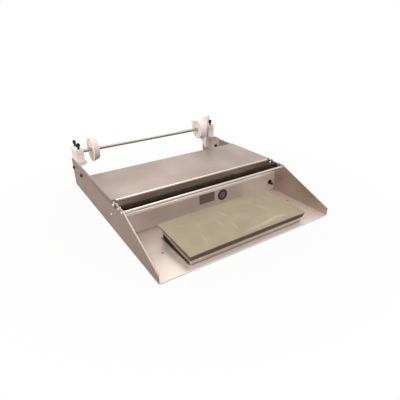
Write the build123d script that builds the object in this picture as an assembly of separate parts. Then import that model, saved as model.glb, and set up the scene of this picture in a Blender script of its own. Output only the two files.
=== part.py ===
from build123d import *
import os
from math import atan2, cos, radians, sin, tan

# Hand film wrapping machine for a counter, all lengths in millimetres.
# X runs to the operator's right, Y to the rear and Z up. The machine is drawn with Y measured
# from the middle of the body. The saved pieces are moved forward by half of what the wing nut
# sticks out at the rear, so that the origin is the middle of the whole footprint, on the
# surface that the rubber feet stand on. Sizes called level are heights above the lower edge
# of the side panels.

# Body of folded stainless sheet
sheet = 1.5                   # thickness of the body sheet
body_width = 558.0            # over the outer faces of the side panels
body_depth = 676.0            # front edge of the tray to the rear edge of the panels
panel_height = 102.0          # level top edge of a side panel
front_height = 25.0           # height of a side panel at the front edge
peak_setback = 192.0          # tray's front edge to where the top edge turns into the incline
front_corner = 2.5            # rounding of the panel's front corners
foot_height = 8.0             # how far the rubber feet hold the body off the counter
edge_lip = 4.0                # width of the lip folded inward along the top edge
lip_end_gap = 3.0             # end of the lip to the ear bracket
bottom_flange = 30.0          # width of the flange folded inward along the bottom
flange_setback = 3.0          # ends of the bottom flange to the panel's front and rear edges
fold_radius = 1.2             # outer radius of the side panel's folds
sheet_bend = 1.5              # inner bend radius of the other body sheets
panel_gap = 0.2               # side panel to what stands between the panels

# Tray floor and front panel
floor_depth = 308.0           # tray's front edge to the floor's rear edge
floor_upturn = 12.0           # height of the stiffening fold at the floor's rear edge
floor_bend = 0.8
front_panel_setback = 226.0   # tray's front edge to the face of the front panel
front_panel_height = 65.0     # above the tray floor
front_panel_bend = 5.5        # inner radius of the rounded top fold
front_panel_return = 20.0     # depth of the fold that runs rearward at the top
front_panel_foot = 12.0       # depth of the foot flange on the floor

# Brace under the lid and channel at the rear
brace_setback = 286.0         # tray's front edge to the brace's middle
brace_level = 50.5
brace_height = 26.0
brace_depth = 14.0
channel_height = 20.0
channel_depth = 24.0
channel_setback = 12.0        # channel's rear face to the panels' rear edge

# Deck lid, hinged at its front corners
lid_front_setback = 256.0     # tray's front edge to the lid's front edge
lid_rear_setback = 204.0      # lid's rear edge to the panels' rear edge
lid_gap = 1.0                 # lid's underside above the panels' top edge
lid_side_gap = 1.0            # side flange to the side panel's outer face
lid_flange = 18.0             # depth of the front and side flanges
lid_rear_flange = 10.0
lid_taper_length = 62.0       # length of the taper at the rear of a side flange
lid_taper_depth = 5.0         # depth of a side flange at its rear end
lid_bend = 4.0                # inner radius of the front and rear folds
lid_side_bend = 1.5           # inner radius of the side folds
lid_front_inset = 8.0         # front and rear flanges stop this far inside the panels
pivot_setback = 247.0         # tray's front edge to the pivot's axis
pivot_drop = 6.5              # pivot's axis below the panels' top edge
shoulder_radius = 3.15        # pivot screw's shoulder, on which the lid turns
running_gap = 0.05            # radial clearance of everything that turns or slides
snug_gap = 0.02               # radial clearance of fixed screws and collars in their holes

# Guide roller and cut-off rod
roller_setback = 218.0        # tray's front edge to the roller's axis
roller_drop = 7.0             # roller's axis below the panels' top edge
roller_radius = 6.5
roller_wall = 1.5
roller_end_gap = 4.5          # roller's end to the side panel
axle_radius = 4.0
bush_length = 8.0
bush_flange = 1.0
cutter_setback = 194.0        # tray's front edge to the rod's axis
cutter_drop = 7.0             # rod's axis below the panels' top edge
cutter_radius = 4.0
cutter_wall = 0.9
cutter_plug = 14.0            # length of the solid plug in each end of the rod
cutter_tapping = 11.0         # depth of the screw hole in a plug
insulator_collar = 5.2        # radius of the collar inside the panel
insulator_length = 6.0        # length of the collar
insulator_neck = 4.6          # radius of the neck in the panel's hole
insulator_flange = 1.2        # thickness of the flange outside the panel

# Roll stand at the rear
ear_rear_gap = 4.0            # bracket's rear edge to the panel's rear edge
ear_length = 122.0            # bracket's front edge to its rear edge
ear_height = 61.0
ear_rise = 5.0                # shelf's top face above the panels' top edge
ear_sheet = 2.0
ear_bend = 1.5
ear_corner = 5.0              # softened front corner of the upright plate
ear_corner_nose = 1.5         # how far its middle point stands in from both edges
shelf_width = 30.0            # panel's inner face to the shelf's inboard edge
shelf_length = 100.0
shelf_chamfer = 15.0
ear_bolt_front = 20.0         # front bolt to the bracket's front edge
ear_bolt_rear = 10.0          # rear bolt to its rear edge
ear_bolt_drop = 37.0          # bolts below the shelf's top face
bolt_radius = 3.0
bolt_flats = 10.0
bolt_head = 4.0
bolt_nut = 5.0
rivet_rise = 4.0              # rivet above the line of the bolts
rivet_radius = 1.6
rivet_head = 2.8
rivet_crown = 2.0             # radius of the flat on a rivet's head
rivet_head_height = 1.0
shaft_setback = 52.5          # shaft's axis to the panels' rear edge
shaft_rise = 29.0             # shaft's axis above the shelf's top face
shaft_radius = 6.0
shaft_chamfer = 0.75
shaft_end_wall = 6.0          # solid wall of the block beyond the shaft's end
shaft_end_gap = 0.4
block_length = 62.0           # along Y
block_width = 26.0            # along X
block_cap = 15.5              # top of the block above the shaft's axis
block_round = 4.0
block_edge = 1.2
block_slit = 1.2              # gap between base and cap
block_screw_depth = 12.0
thumb_spread = 23.0           # thumb screws to the shaft's axis, along Y
thumb_stud = 3.0
thumb_stud_depth = 14.0       # end of the stud below the shaft's axis
thumb_lift = 0.3              # collar of the thumb screw above the cap
thumb_collar = 4.2
thumb_collar_height = 5.0
thumb_collar_chamfer = 1.0
thumb_neck = 2.2
thumb_neck_length = 4.0       # neck inside the blade
thumb_blade_width = 14.0
thumb_blade_height = 16.0
thumb_blade_round = 6.8       # rounding of the blade's corners
thumb_blade_thickness = 5.0
thumb_blade_chamfer = 1.4

# Core cones and wing nut
cone_large = 42.0
cone_small = 36.0
cone_width = 22.0
cone_rim = 6.5
cone_recess = 4.0             # depth of the dish in each face
cone_edge = 1.2
cone_left_setback = 32.0      # large face of the left cone to its bearing block
cone_right_setback = 15.0     # large face of the right cone to its bearing block
wing_gap = 0.4                # cone to wing nut
wings = 3
wing_radius = 85.5            # centre to the tip of a wing
wing_tip = 3.0                # rounding of a tip
wing_waist = 37.0             # centre to the middle of a hollow side
wing_thickness = 6.0
wing_hub = 13.0
wing_hub_length = 4.0
wing_angle = 10.0             # first wing above the rearward direction, degrees
wing_edge = 1.0
set_screw_radius = 2.5
set_screw_socket = 1.25
set_screw_socket_depth = 5.0
set_screw_angle = 205.0       # where the left cone's set screw is, degrees

# Hot plate
plate_width = 372.0
plate_depth = 148.0
plate_setback = 18.0          # plate's front rim to the tray's front edge
plate_side = 12.0             # depth of the plate's folded rim
plate_round = 3.0
plate_edge = 2.0
plate_lift = 2.4              # front rim above the tray floor
plate_tilt = 5.5              # degrees
cover_overhang = 7.5          # cover past the plate at its shoulder
cover_pad = 14.0              # padding on top of the plate
cover_shoulder = 3.0          # softened edge round the cover's top
cover_hem = 1.5               # how far the hem hangs below the plate's face
cover_hem_overhang = 1.2      # cover past the plate at the hem
cover_gap = 0.3
heater_inset = 12.0
heater_thickness = 3.0
thermostat_radius = 8.0
thermostat_height = 6.0
terminal_reach = 12.0         # thermostat's middle to the end of a terminal
terminal_width = 4.0
terminal_thickness = 1.0
base_width = 380.0
base_sheet = 1.2
base_lip = 3.0
base_wall_gap = 0.1           # plate's rim to the base's rear wall
rest_setback = 3.0            # front rest to the plate's front rim
snap_radius = 2.2
snap_height = 1.3
snap_crown = 1.5              # radius of a snap's flat top
snap_rivet = 0.8              # radius of the rivet through the plate's rim
snap_spread = 158.0           # outer snaps to the middle one
side_snap_y = 104.0           # left snap to the plate's front rim

# Switch, wiring housing, gland and wire conduit
switch_inset = 23.5           # switch's axis to the right panel's inner face
switch_level = 36.0
bushing_radius = 6.0
bushing_length = 4.0          # bushing in front of the panel
bushing_bore = 4.6
switch_nut_flats = 15.0
switch_nut_height = 2.0
boot_radius = 8.2
boot_height = 3.5
boot_lip = 1.0                # thickness of the boot's lip in front
toggle_rest = 12.0            # lever points this far down at rest, degrees
toggle_length = 17.0
toggle_ball = 3.4
toggle_tip = 4.4
toggle_tip_chamfer = 1.5
toggle_root = 2.4
switch_body = (18.0, 24.0, 22.0)
housing_width = 140.0
housing_depth = 34.0
housing_height = 54.0
housing_sheet = 1.2
housing_flange = 10.0
housing_gap = 1.5             # housing to the right side panel
gland_inset = 62.0            # gland's axis to the housing's right wall
gland_level = 22.0
gland_bore = 4.1
gland_thread = 6.0
gland_flats = 19.0
gland_hex = 7.0               # length of the gland's hexagon
gland_nose = 14.0             # length of the clamping nose past the hexagon
gland_inside = 8.0
gland_nut = 4.0
terminal_ways = 4
terminal_pitch = 10.0
terminal_depth = 16.0
terminal_height = 14.0
terminal_well = 2.5           # radius of a screw well
terminal_well_depth = 7.0
terminal_setback = 16.0       # strip to the housing's rear wall
conduit_inset = 14.0          # conduit's axis to the housing's left wall
conduit_radius = 2.0
conduit_bore = 1.3
conduit_level = 6.2
conduit_reach = 9.0           # how far the conduit runs on past the walls that it crosses
grommet_wall = 0.7
grommet_lip = 0.5

# Feet and small fasteners
foot_radius = 11.0
foot_bottom_radius = 9.5
foot_inset_x = 18.0           # foot's axis to the side panel's outer face
foot_inset_y = 28.0           # foot's axis to the body's front and rear edges
foot_cavity = 5.5
foot_cavity_depth = 4.0
screw_crown = 0.7             # flat on a screw's head as a share of the head
screw_head = 4.2
screw_head_height = 2.4
screw_shank = 2.0
pivot_head = 5.5
pivot_head_height = 3.0
pivot_washer = 6.5
pivot_washer_thickness = 1.2
lip_notch_gap = 0.5           # washer to the notch in the panel's lip
acorn_flats = 9.0
acorn_hex = 4.0               # height of the acorn nut's hexagon
acorn_dome = 2.5              # height of its dome
acorn_dome_radius = 3.8
acorn_dome_top = 2.0
acorn_tapping = 3.3           # depth of its thread
plate_screw_inset = 36.0      # screws of the rear wall to the plate's ends
plate_screw_head = 3.0
plate_screw_head_height = 1.6
plate_screw_shank = 1.5
tray_screw_head = 2.3
tray_screw_head_height = 1.2
tray_screw_left = (32.0, 102.0)    # left screw to the plate's end and the tray's front edge
tray_screw_right = (25.5, 133.0)   # right screw to the right panel and the same edge

# Levels and places that follow from the sizes above
base_z = foot_height
floor_z = base_z + 2 * sheet
top_z = base_z + panel_height
outer_x = body_width / 2
inner_x = outer_x - sheet
front_y = -body_depth / 2
rear_y = body_depth / 2
peak_y = front_y + peak_setback
floor_rear_y = front_y + floor_depth
front_panel_y = front_y + front_panel_setback
brace_y = front_y + brace_setback
lid_front_y = front_y + lid_front_setback
lid_rear_y = rear_y - lid_rear_setback
pivot_y = front_y + pivot_setback
roller_y = front_y + roller_setback
cutter_y = front_y + cutter_setback
between_x = inner_x - panel_gap
lid_top_z = top_z + lid_gap + sheet
lid_inner_x = outer_x + lid_side_gap
lid_outer_x = lid_inner_x + sheet
lid_flange_x = inner_x - lid_front_inset
pivot_z = top_z - pivot_drop
pivot_ear = pivot_z - (lid_top_z - lid_flange)
roller_z = top_z - roller_drop
roller_end_x = inner_x - roller_end_gap
cutter_z = top_z - cutter_drop
shelf_z = top_z + ear_rise
ear_bolt_z = shelf_z - ear_bolt_drop
ear_inner_x = inner_x - ear_sheet
ear_rear_y = rear_y - ear_rear_gap
ear_front_y = ear_rear_y - ear_length
ear_bolt_places = (ear_front_y + ear_bolt_front, ear_rear_y - ear_bolt_rear)
rivet_y = sum(ear_bolt_places) / 2
rivet_z = ear_bolt_z + rivet_rise
shelf_inboard = inner_x - shelf_width
shelf_front_y = ear_rear_y - shelf_length
shaft_y = rear_y - shaft_setback
shaft_z = shelf_z + shaft_rise
shaft_end_x = outer_x - shaft_end_wall
block_inner_x = outer_x - block_width
block_middle_x = outer_x - block_width / 2
block_top_z = shaft_z + block_cap
cone_left_x = cone_left_setback - block_inner_x
cone_right_x = block_inner_x - cone_right_setback
front_panel_top = floor_z + front_panel_height
plate_front_y = front_y + plate_setback
plate_front_z = floor_z + plate_lift
plate_screw_x = plate_width / 2 - plate_screw_inset
plate_frame = Location((0, plate_front_y, plate_front_z), (plate_tilt, 0, 0))
base_wall_y = plate_front_y + plate_depth * cos(radians(plate_tilt)) + base_wall_gap
switch_x = inner_x - switch_inset
switch_z = base_z + switch_level
brace_z = base_z + brace_level
housing_right_x = inner_x - housing_gap
housing_left_x = housing_right_x - housing_width
housing_rear_y = front_panel_y + front_panel_foot + housing_depth
gland_x = housing_right_x - gland_inset
gland_z = floor_z + gland_level
conduit_x = housing_left_x + conduit_inset
conduit_z = floor_z + conduit_level
tray_screw_places = (
    (-plate_width / 2 - tray_screw_left[0], front_y + tray_screw_left[1]),
    (inner_x - tray_screw_right[0], front_y + tray_screw_right[1]),
)
foot_x = outer_x - foot_inset_x
foot_places = [(sx * foot_x, y) for sx in (-1, 1)
               for y in (front_y + foot_inset_y, rear_y - foot_inset_y)]


# Drawing and joining helpers

def save(node, shape, forward):
    """Writes one node's solids to its own STEP file, moved forward to the final origin."""
    export_step(Pos(0, -forward, 0) * shape, f"parts/{node}.step")


def group(pieces):
    """Identical separate pieces that share one node."""
    return Compound([solid for piece in pieces for solid in piece.solids()])


def mirrored(piece):
    """The same piece on the machine's other side."""
    return mirror(piece, about=Plane.YZ)


def both_sides(piece):
    """A piece on the right and its mirror image on the left."""
    return group([piece, mirrored(piece)])


def cut(solid, tools):
    """A solid with every tool taken out of it."""
    for tool in tools:
        solid = solid - tool
    return solid


def parallel(path, distance):
    """Points of a line beside an open path, on its left as the path runs."""
    beside = []
    last = len(path) - 1
    for i, (u, v) in enumerate(path):
        u0, v0 = path[max(i - 1, 0)]
        u1, v1 = path[min(i + 1, last)]
        into = atan2(v - v0, u - u0) if i > 0 else atan2(v1 - v, u1 - u)
        out = atan2(v1 - v, u1 - u) if i < last else into
        turn = (out - into + radians(180)) % radians(360) - radians(180)
        middle = into + turn / 2
        reach = distance / cos(turn / 2)
        beside.append((u - reach * sin(middle), v + reach * cos(middle)))
    return beside


def outline(points):
    """Flat face inside straight lines through the points."""
    return make_face(Polyline(*points, close=True))


def folded_section(path, thickness, bends):
    """Section of a folded sheet on the left of a path, with one inner bend radius per fold."""
    beside = parallel(path, thickness)
    section = outline(path + beside[::-1])
    for i, bend in enumerate(bends, start=1):
        (u0, v0), (u1, v1), (u2, v2) = path[i - 1:i + 2]
        path_is_outside = (u1 - u0) * (v2 - v1) - (v1 - v0) * (u2 - u1) > 0
        radii = (bend + thickness, bend) if path_is_outside else (bend, bend + thickness)
        for corner, radius in zip((path[i], beside[i]), radii):
            nearest = section.vertices().sort_by_distance(Vector(*corner, 0))[0]
            section = fillet(nearest, radius)
    return section


def along_x(section, x_from, x_to):
    """A section drawn as (Y, Z), drawn out along X."""
    return extrude(Plane.YZ.offset(x_from) * section, x_to - x_from)


def along_y(section, y_from, y_to):
    """A section drawn as (X, Z), drawn out along Y."""
    return extrude(Plane.XZ.offset(-y_from) * section, y_from - y_to)


def block(x_from, x_to, y_from, y_to, z_from, z_to):
    """A rectangular block between two corners."""
    middle = Pos((x_from + x_to) / 2, (y_from + y_to) / 2, (z_from + z_to) / 2)
    return middle * Box(x_to - x_from, y_to - y_from, z_to - z_from)


def peg(radius, length):
    """A round bar that stands on the XY plane."""
    return Cylinder(radius, length, align=(Align.CENTER, Align.CENTER, Align.MIN))


def rod_x(radius, x_from, x_to, y, z):
    """A round rod along X."""
    return Pos(x_from, y, z) * Rot(0, 90, 0) * peg(radius, x_to - x_from)


def rod_y(radius, y_from, y_to, x, z):
    """A round rod along Y."""
    return Pos(x, y_from, z) * Rot(-90, 0, 0) * peg(radius, y_to - y_from)


def rod_z(radius, z_from, z_to, x, y):
    """A round rod along Z."""
    return Pos(x, y, z_from) * peg(radius, z_to - z_from)


def hexagon(flats, height):
    """A hexagonal prism that stands on the XY plane."""
    return extrude(RegularPolygon(flats / 2, 6, major_radius=False), height)


def tapered(radius, top_radius, height):
    """A tapered round body that stands on the XY plane."""
    return Cone(radius, top_radius, height, align=(Align.CENTER, Align.CENTER, Align.MIN))


def pan_screw(head, head_height, shank, length):
    """A screw with its tapered head above the XY plane and its shank below it."""
    return tapered(head, head * screw_crown, head_height) + Pos(0, 0, -length) * peg(shank, length)


def facing_right(piece, x, y, z):
    """A piece drawn along +Z, turned to point along +X and placed."""
    return Pos(x, y, z) * Rot(0, 90, 0) * piece


# Body of folded sheet

def side_panel():
    """Right side panel with its bottom flange, the lip along its top and its holes."""
    front_top = base_z + front_height
    plate = along_x(outline([(front_y, base_z), (rear_y, base_z), (rear_y, top_z),
                             (peak_y, top_z), (front_y, front_top)]), inner_x, outer_x)
    slope = (top_z - front_top) / (peak_y - front_y)
    lip_path = [(front_y + sheet, front_top + slope * sheet), (peak_y, top_z),
                (ear_front_y - lip_end_gap, top_z)]
    lip_section = outline(lip_path + parallel(lip_path, -sheet)[::-1])
    lip = along_x(lip_section, outer_x - edge_lip, outer_x)
    flange = block(outer_x - bottom_flange, outer_x, front_y + flange_setback,
                   rear_y - flange_setback, base_z, base_z + sheet)
    panel = plate + lip + flange
    corners = [e for e in panel.edges().filter_by(Axis.X)
               if abs(e.center().Y - front_y) < sheet / 2 and e.length < 1.1 * sheet]
    panel = fillet(corners, front_corner)
    folds = [e for e in panel.edges()
             if min((e @ 0).X, (e @ 1).X) > outer_x - 0.01 and e.length > 2 * bottom_flange
             and min((e @ 0).Z, (e @ 1).Z) > front_top]
    panel = fillet(folds, fold_radius)
    across = (inner_x - sheet, outer_x + sheet)
    holes = [
        rod_x(shoulder_radius + snug_gap, *across, pivot_y, pivot_z),
        rod_x(screw_shank + snug_gap, *across, roller_y, roller_z),
        rod_x(insulator_neck + snug_gap, *across, cutter_y, cutter_z),
        rod_x(screw_shank + snug_gap, *across, brace_y, brace_z),
        rod_x(rivet_radius + snug_gap, *across, rivet_y, rivet_z),
    ]
    holes += [rod_x(bolt_radius + snug_gap, *across, y, ear_bolt_z) for y in ear_bolt_places]
    holes += [rod_z(screw_shank + snug_gap, base_z - sheet, floor_z, x, y)
              for x, y in foot_places if x > 0]
    holes.append(rod_x(pivot_washer + lip_notch_gap, outer_x - 2 * edge_lip, inner_x,
                       pivot_y, pivot_z))
    return cut(panel, holes)


def tray_floor():
    """Tray floor, its front edge turned down and its rear edge turned up."""
    path = [(floor_rear_y, floor_z + floor_upturn), (floor_rear_y, floor_z),
            (front_y, floor_z), (front_y, base_z)]
    floor = along_x(folded_section(path, sheet, [sheet_bend, floor_bend]), -between_x, between_x)
    return cut(floor, [rod_z(screw_shank + snug_gap, base_z, floor_z + sheet, x, y)
                       for x, y in tray_screw_places])


def front_panel():
    """Front panel with a foot flange, a rounded top fold, and holes for switch and conduit."""
    path = [(front_panel_y + front_panel_return, front_panel_top),
            (front_panel_y, front_panel_top),
            (front_panel_y, floor_z),
            (front_panel_y + front_panel_foot, floor_z)]
    section = folded_section(path, sheet, [front_panel_bend, sheet_bend])
    panel = along_x(section, -between_x, between_x)
    through = (front_panel_y - sheet, front_panel_y + 2 * sheet)
    return cut(panel, [rod_y(bushing_radius + snug_gap, *through, switch_x, switch_z),
                       rod_y(conduit_radius + grommet_wall, *through, conduit_x, conduit_z)])


def cross_brace():
    """Channel between the side panels under the lid, open to the rear."""
    low, high = brace_z - brace_height / 2, brace_z + brace_height / 2
    front, rear = brace_y - brace_depth / 2, brace_y + brace_depth / 2
    path = [(rear, high), (front, high), (front, low), (rear, low)]
    section = folded_section(path, sheet, [sheet_bend, sheet_bend])
    tab = along_x(outline([(front + sheet, low + sheet), (rear, low + sheet),
                           (rear, high - sheet), (front + sheet, high - sheet)]),
                  between_x - 2 * sheet, between_x)
    tab = tab - rod_x(screw_shank + snug_gap, inner_x - 4 * sheet, inner_x, brace_y, brace_z)
    return along_x(section, -between_x, between_x) + tab + mirrored(tab)


def rear_channel():
    """Channel across the rear, standing on the side panels' bottom flanges."""
    rear = rear_y - channel_setback
    front = rear - channel_depth
    low = base_z + sheet
    high = low + channel_height
    path = [(rear, low), (rear, high), (front, high), (front, low)]
    return along_x(folded_section(path, sheet, [sheet_bend, sheet_bend]),
                   -between_x, between_x)


# Deck lid and its pivots

def deck_lid():
    """Deck lid: a folded tray whose side flanges hang outside the body and carry the pivots."""
    flange_z = lid_top_z - lid_flange
    middle = folded_section(
        [(lid_rear_y, lid_top_z - lid_rear_flange), (lid_rear_y, lid_top_z),
         (lid_front_y, lid_top_z), (lid_front_y, flange_z)], sheet, [lid_bend, lid_bend])
    lid = along_x(middle, -lid_flange_x, lid_flange_x)
    side_front_y = lid_front_y + lid_bend + sheet
    side_section = folded_section(
        [(lid_outer_x, flange_z), (lid_outer_x, lid_top_z), (lid_flange_x, lid_top_z)],
        sheet, [lid_side_bend])
    side = along_y(side_section, side_front_y, lid_rear_y - lid_bend)
    taper = outline([(lid_rear_y - lid_taper_length, flange_z - sheet),
                     (lid_rear_y - lid_taper_length, flange_z),
                     (lid_rear_y, lid_top_z - lid_taper_depth),
                     (lid_rear_y, flange_z - sheet)])
    side = side - along_x(taper, lid_inner_x - sheet, lid_outer_x + sheet)
    ear = rod_x(pivot_ear, lid_inner_x, lid_outer_x, pivot_y, pivot_z)
    ear = ear + block(lid_inner_x, lid_outer_x, pivot_y, side_front_y,
                      flange_z, lid_top_z - lid_side_bend - sheet)
    side = side + ear
    side = side - rod_x(shoulder_radius + running_gap, lid_inner_x - sheet,
                        lid_outer_x + sheet, pivot_y, pivot_z)
    return lid + side + mirrored(side)


def pivot_screw():
    """Shoulder screw that the lid turns on, its head outside the lid's flange."""
    head_x = lid_outer_x + lid_side_gap / 2
    length = head_x - inner_x + pivot_washer_thickness + acorn_tapping - snug_gap
    screw = pan_screw(pivot_head, pivot_head_height, shoulder_radius, length)
    return facing_right(screw, head_x, pivot_y, pivot_z)


def pivot_washer_ring():
    """Black nylon washer between the side panel and the acorn nut."""
    ring = rod_x(pivot_washer, inner_x - pivot_washer_thickness, inner_x, pivot_y, pivot_z)
    return ring - rod_x(shoulder_radius + snug_gap, inner_x - 2 * pivot_washer_thickness,
                        inner_x + sheet, pivot_y, pivot_z)


def pivot_nut():
    """Acorn nut on the inner end of the pivot screw."""
    dome = tapered(acorn_dome_radius, acorn_dome_top, acorn_dome)
    nut = hexagon(acorn_flats, acorn_hex) + Pos(0, 0, acorn_hex) * dome
    nut = nut - peg(shoulder_radius + snug_gap, acorn_tapping)
    return Pos(inner_x - pivot_washer_thickness, pivot_y, pivot_z) * Rot(0, -90, 0) * nut


# Guide roller and cut-off rod

def guide_roller():
    """Dark roller tube that the film runs over."""
    bore = roller_radius - roller_wall
    return (rod_x(roller_radius, -roller_end_x, roller_end_x, roller_y, roller_z)
            - rod_x(bore, -inner_x, inner_x, roller_y, roller_z))


def roller_bush():
    """Flanged bush in the right end of the roller."""
    flange_x = roller_end_x + bush_flange
    bush = (rod_x(roller_radius - roller_wall, roller_end_x - bush_length, roller_end_x,
                  roller_y, roller_z)
            + rod_x(roller_radius, roller_end_x, flange_x, roller_y, roller_z))
    return bush - rod_x(axle_radius + running_gap, 0, inner_x, roller_y, roller_z)


def roller_axle():
    """Fixed axle between the side panels, tapped at both ends."""
    axle = rod_x(axle_radius, -inner_x, inner_x, roller_y, roller_z)
    tapped = rod_x(screw_shank + snug_gap, inner_x - 3 * bush_length, outer_x,
                   roller_y, roller_z)
    return axle - tapped - mirrored(tapped)


def body_screw(y, z, length):
    """Pan screw on the right side panel's outer face."""
    screw = pan_screw(screw_head, screw_head_height, screw_shank, length)
    return facing_right(screw, outer_x, y, z)


def cutoff_rod():
    """Heated cut-off rod: a thin tube with a tapped plug in each end."""
    end_x = inner_x - sheet
    rod = (rod_x(cutter_radius, -end_x, end_x, cutter_y, cutter_z)
           - rod_x(cutter_radius - cutter_wall, cutter_plug - end_x, end_x - cutter_plug,
                   cutter_y, cutter_z))
    tapped = rod_x(screw_shank + snug_gap, end_x - cutter_tapping, outer_x,
                   cutter_y, cutter_z)
    return rod - tapped - mirrored(tapped)


def rod_insulator():
    """White insulating bush that holds the rod's right end in the side panel."""
    collar = rod_x(insulator_collar, inner_x - insulator_length, inner_x, cutter_y, cutter_z)
    neck = rod_x(insulator_neck, inner_x, outer_x, cutter_y, cutter_z)
    flange = rod_x(insulator_collar, outer_x, outer_x + insulator_flange, cutter_y, cutter_z)
    socket = rod_x(cutter_radius + snug_gap, 0, inner_x - sheet, cutter_y, cutter_z)
    passage = rod_x(screw_shank + snug_gap, 0, outer_x + 2 * insulator_flange,
                    cutter_y, cutter_z)
    return collar + neck + flange - socket - passage


def rod_screw():
    """Screw through the insulator into the rod's right end."""
    head_x = outer_x + insulator_flange
    length = head_x - inner_x + sheet + cutter_plug / 2
    screw = pan_screw(screw_head, screw_head_height, screw_shank, length)
    return facing_right(screw, head_x, cutter_y, cutter_z)


# Roll stand at the rear

def ear_bracket():
    """Right ear bracket: an upright plate whose top is folded inward as a shelf."""
    path = [(inner_x, shelf_z - ear_height), (inner_x, shelf_z), (shelf_inboard, shelf_z)]
    section = folded_section(path, ear_sheet, [ear_bend])
    bracket = along_y(section, ear_front_y, ear_rear_y)
    fold_x = inner_x - ear_sheet - ear_bend
    relief = block(shelf_inboard - 1, fold_x, ear_front_y - 1, shelf_front_y,
                   shelf_z - 2 * ear_sheet, shelf_z + ear_sheet)
    corner = outline([(ear_front_y - 1, shelf_z + 1), (ear_front_y - 1, shelf_z - ear_corner),
                      (ear_front_y, shelf_z - ear_corner),
                      (ear_front_y + ear_corner_nose, shelf_z - ear_corner_nose),
                      (ear_front_y + ear_corner, shelf_z), (ear_front_y + ear_corner, shelf_z + 1)])
    bracket = bracket - relief - along_x(corner, shelf_inboard - 1, outer_x)
    nose = Plane.XY.offset(shelf_z - 2 * ear_sheet) * outline([
        (shelf_inboard - 1, shelf_front_y - 1), (shelf_inboard + shelf_chamfer, shelf_front_y - 1),
        (shelf_inboard + shelf_chamfer, shelf_front_y), (shelf_inboard, shelf_front_y + shelf_chamfer),
        (shelf_inboard - 1, shelf_front_y + shelf_chamfer)])
    bracket = bracket - extrude(nose, 3 * ear_sheet)
    holes = [rod_x(bolt_radius + snug_gap, ear_inner_x - sheet, outer_x, y, ear_bolt_z)
             for y in ear_bolt_places]
    holes.append(rod_x(rivet_radius + snug_gap, ear_inner_x - sheet, outer_x, rivet_y, rivet_z))
    holes += [rod_z(bolt_radius + snug_gap, shelf_z - 2 * ear_sheet, shelf_z + 1,
                    block_middle_x, y) for y in block_screw_places()]
    return cut(bracket, holes)


def ear_bolt(y):
    """Black hex bolt through the side panel and the bracket."""
    shank = peg(bolt_radius, inner_x - ear_inner_x + sheet + bolt_nut + 1)
    bolt = hexagon(bolt_flats, bolt_head) + Pos(0, 0, -shank.bounding_box().size.Z) * shank
    return facing_right(bolt, outer_x, y, ear_bolt_z)


def ear_rivet():
    """Rivet through the side panel and the bracket, with a head on either side."""
    head = tapered(rivet_head, rivet_crown, rivet_head_height)
    return (rod_x(rivet_radius, ear_inner_x, outer_x, rivet_y, rivet_z)
            + facing_right(head, outer_x, rivet_y, rivet_z)
            + Pos(ear_inner_x, rivet_y, rivet_z) * Rot(0, -90, 0) * head)


def ear_nut(y):
    """Black hex nut on the inner end of an ear bolt."""
    nut = hexagon(bolt_flats, bolt_nut) - peg(bolt_radius + snug_gap, bolt_nut)
    return facing_right(nut, ear_inner_x - bolt_nut, y, ear_bolt_z)


def block_screw_places():
    """Where the screws under the shelf stand, along Y."""
    return (shaft_y - thumb_spread / 2, shaft_y + thumb_spread / 2)


def block_screw(y):
    """Hex screw up through the shelf into the bearing block."""
    length = ear_sheet + block_screw_depth
    screw = hexagon(bolt_flats, bolt_head) + Pos(0, 0, bolt_head) * peg(bolt_radius, length)
    return Pos(block_middle_x, y, shelf_z - ear_sheet - bolt_head) * screw


def shaft_bore():
    """Blind bore of the right bearing block."""
    return rod_x(shaft_radius + running_gap, block_inner_x - 1, shaft_end_x + shaft_end_gap,
                 shaft_y, shaft_z)


def thumb_places():
    """Where a block's two thumb screws stand, along Y."""
    return (shaft_y - thumb_spread, shaft_y + thumb_spread)


def block_base():
    """Lower half of the right bearing block, screwed to the shelf."""
    top = shaft_z - block_slit / 2
    body = block(block_inner_x, outer_x, shaft_y - block_length / 2, shaft_y + block_length / 2,
                 shelf_z, top)
    body = fillet(body.edges().filter_by(Axis.Y).group_by(Axis.Z)[0], block_round)
    body = fillet(body.edges().filter_by(Axis.Z), block_edge)
    holes = [rod_z(thumb_stud + running_gap, shaft_z - thumb_stud_depth - 1, top + 1,
                   block_middle_x, y) for y in thumb_places()]
    holes += [rod_z(bolt_radius + snug_gap, shelf_z - 1, shelf_z + block_screw_depth + snug_gap,
                    block_middle_x, y) for y in block_screw_places()]
    return cut(body, holes + [shaft_bore()])


def block_cap_piece():
    """Upper half of the right bearing block, held down by the two thumb screws."""
    body = block(block_inner_x, outer_x, shaft_y - block_length / 2, shaft_y + block_length / 2,
                 shaft_z + block_slit / 2, block_top_z)
    body = fillet(body.edges().filter_by(Axis.Z), block_edge)
    body = fillet(body.edges().group_by(Axis.Z)[-1], block_edge)
    holes = [rod_z(thumb_stud + running_gap, shaft_z, block_top_z + 1, block_middle_x, y)
             for y in thumb_places()]
    return cut(body, holes + [shaft_bore()])


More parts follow.
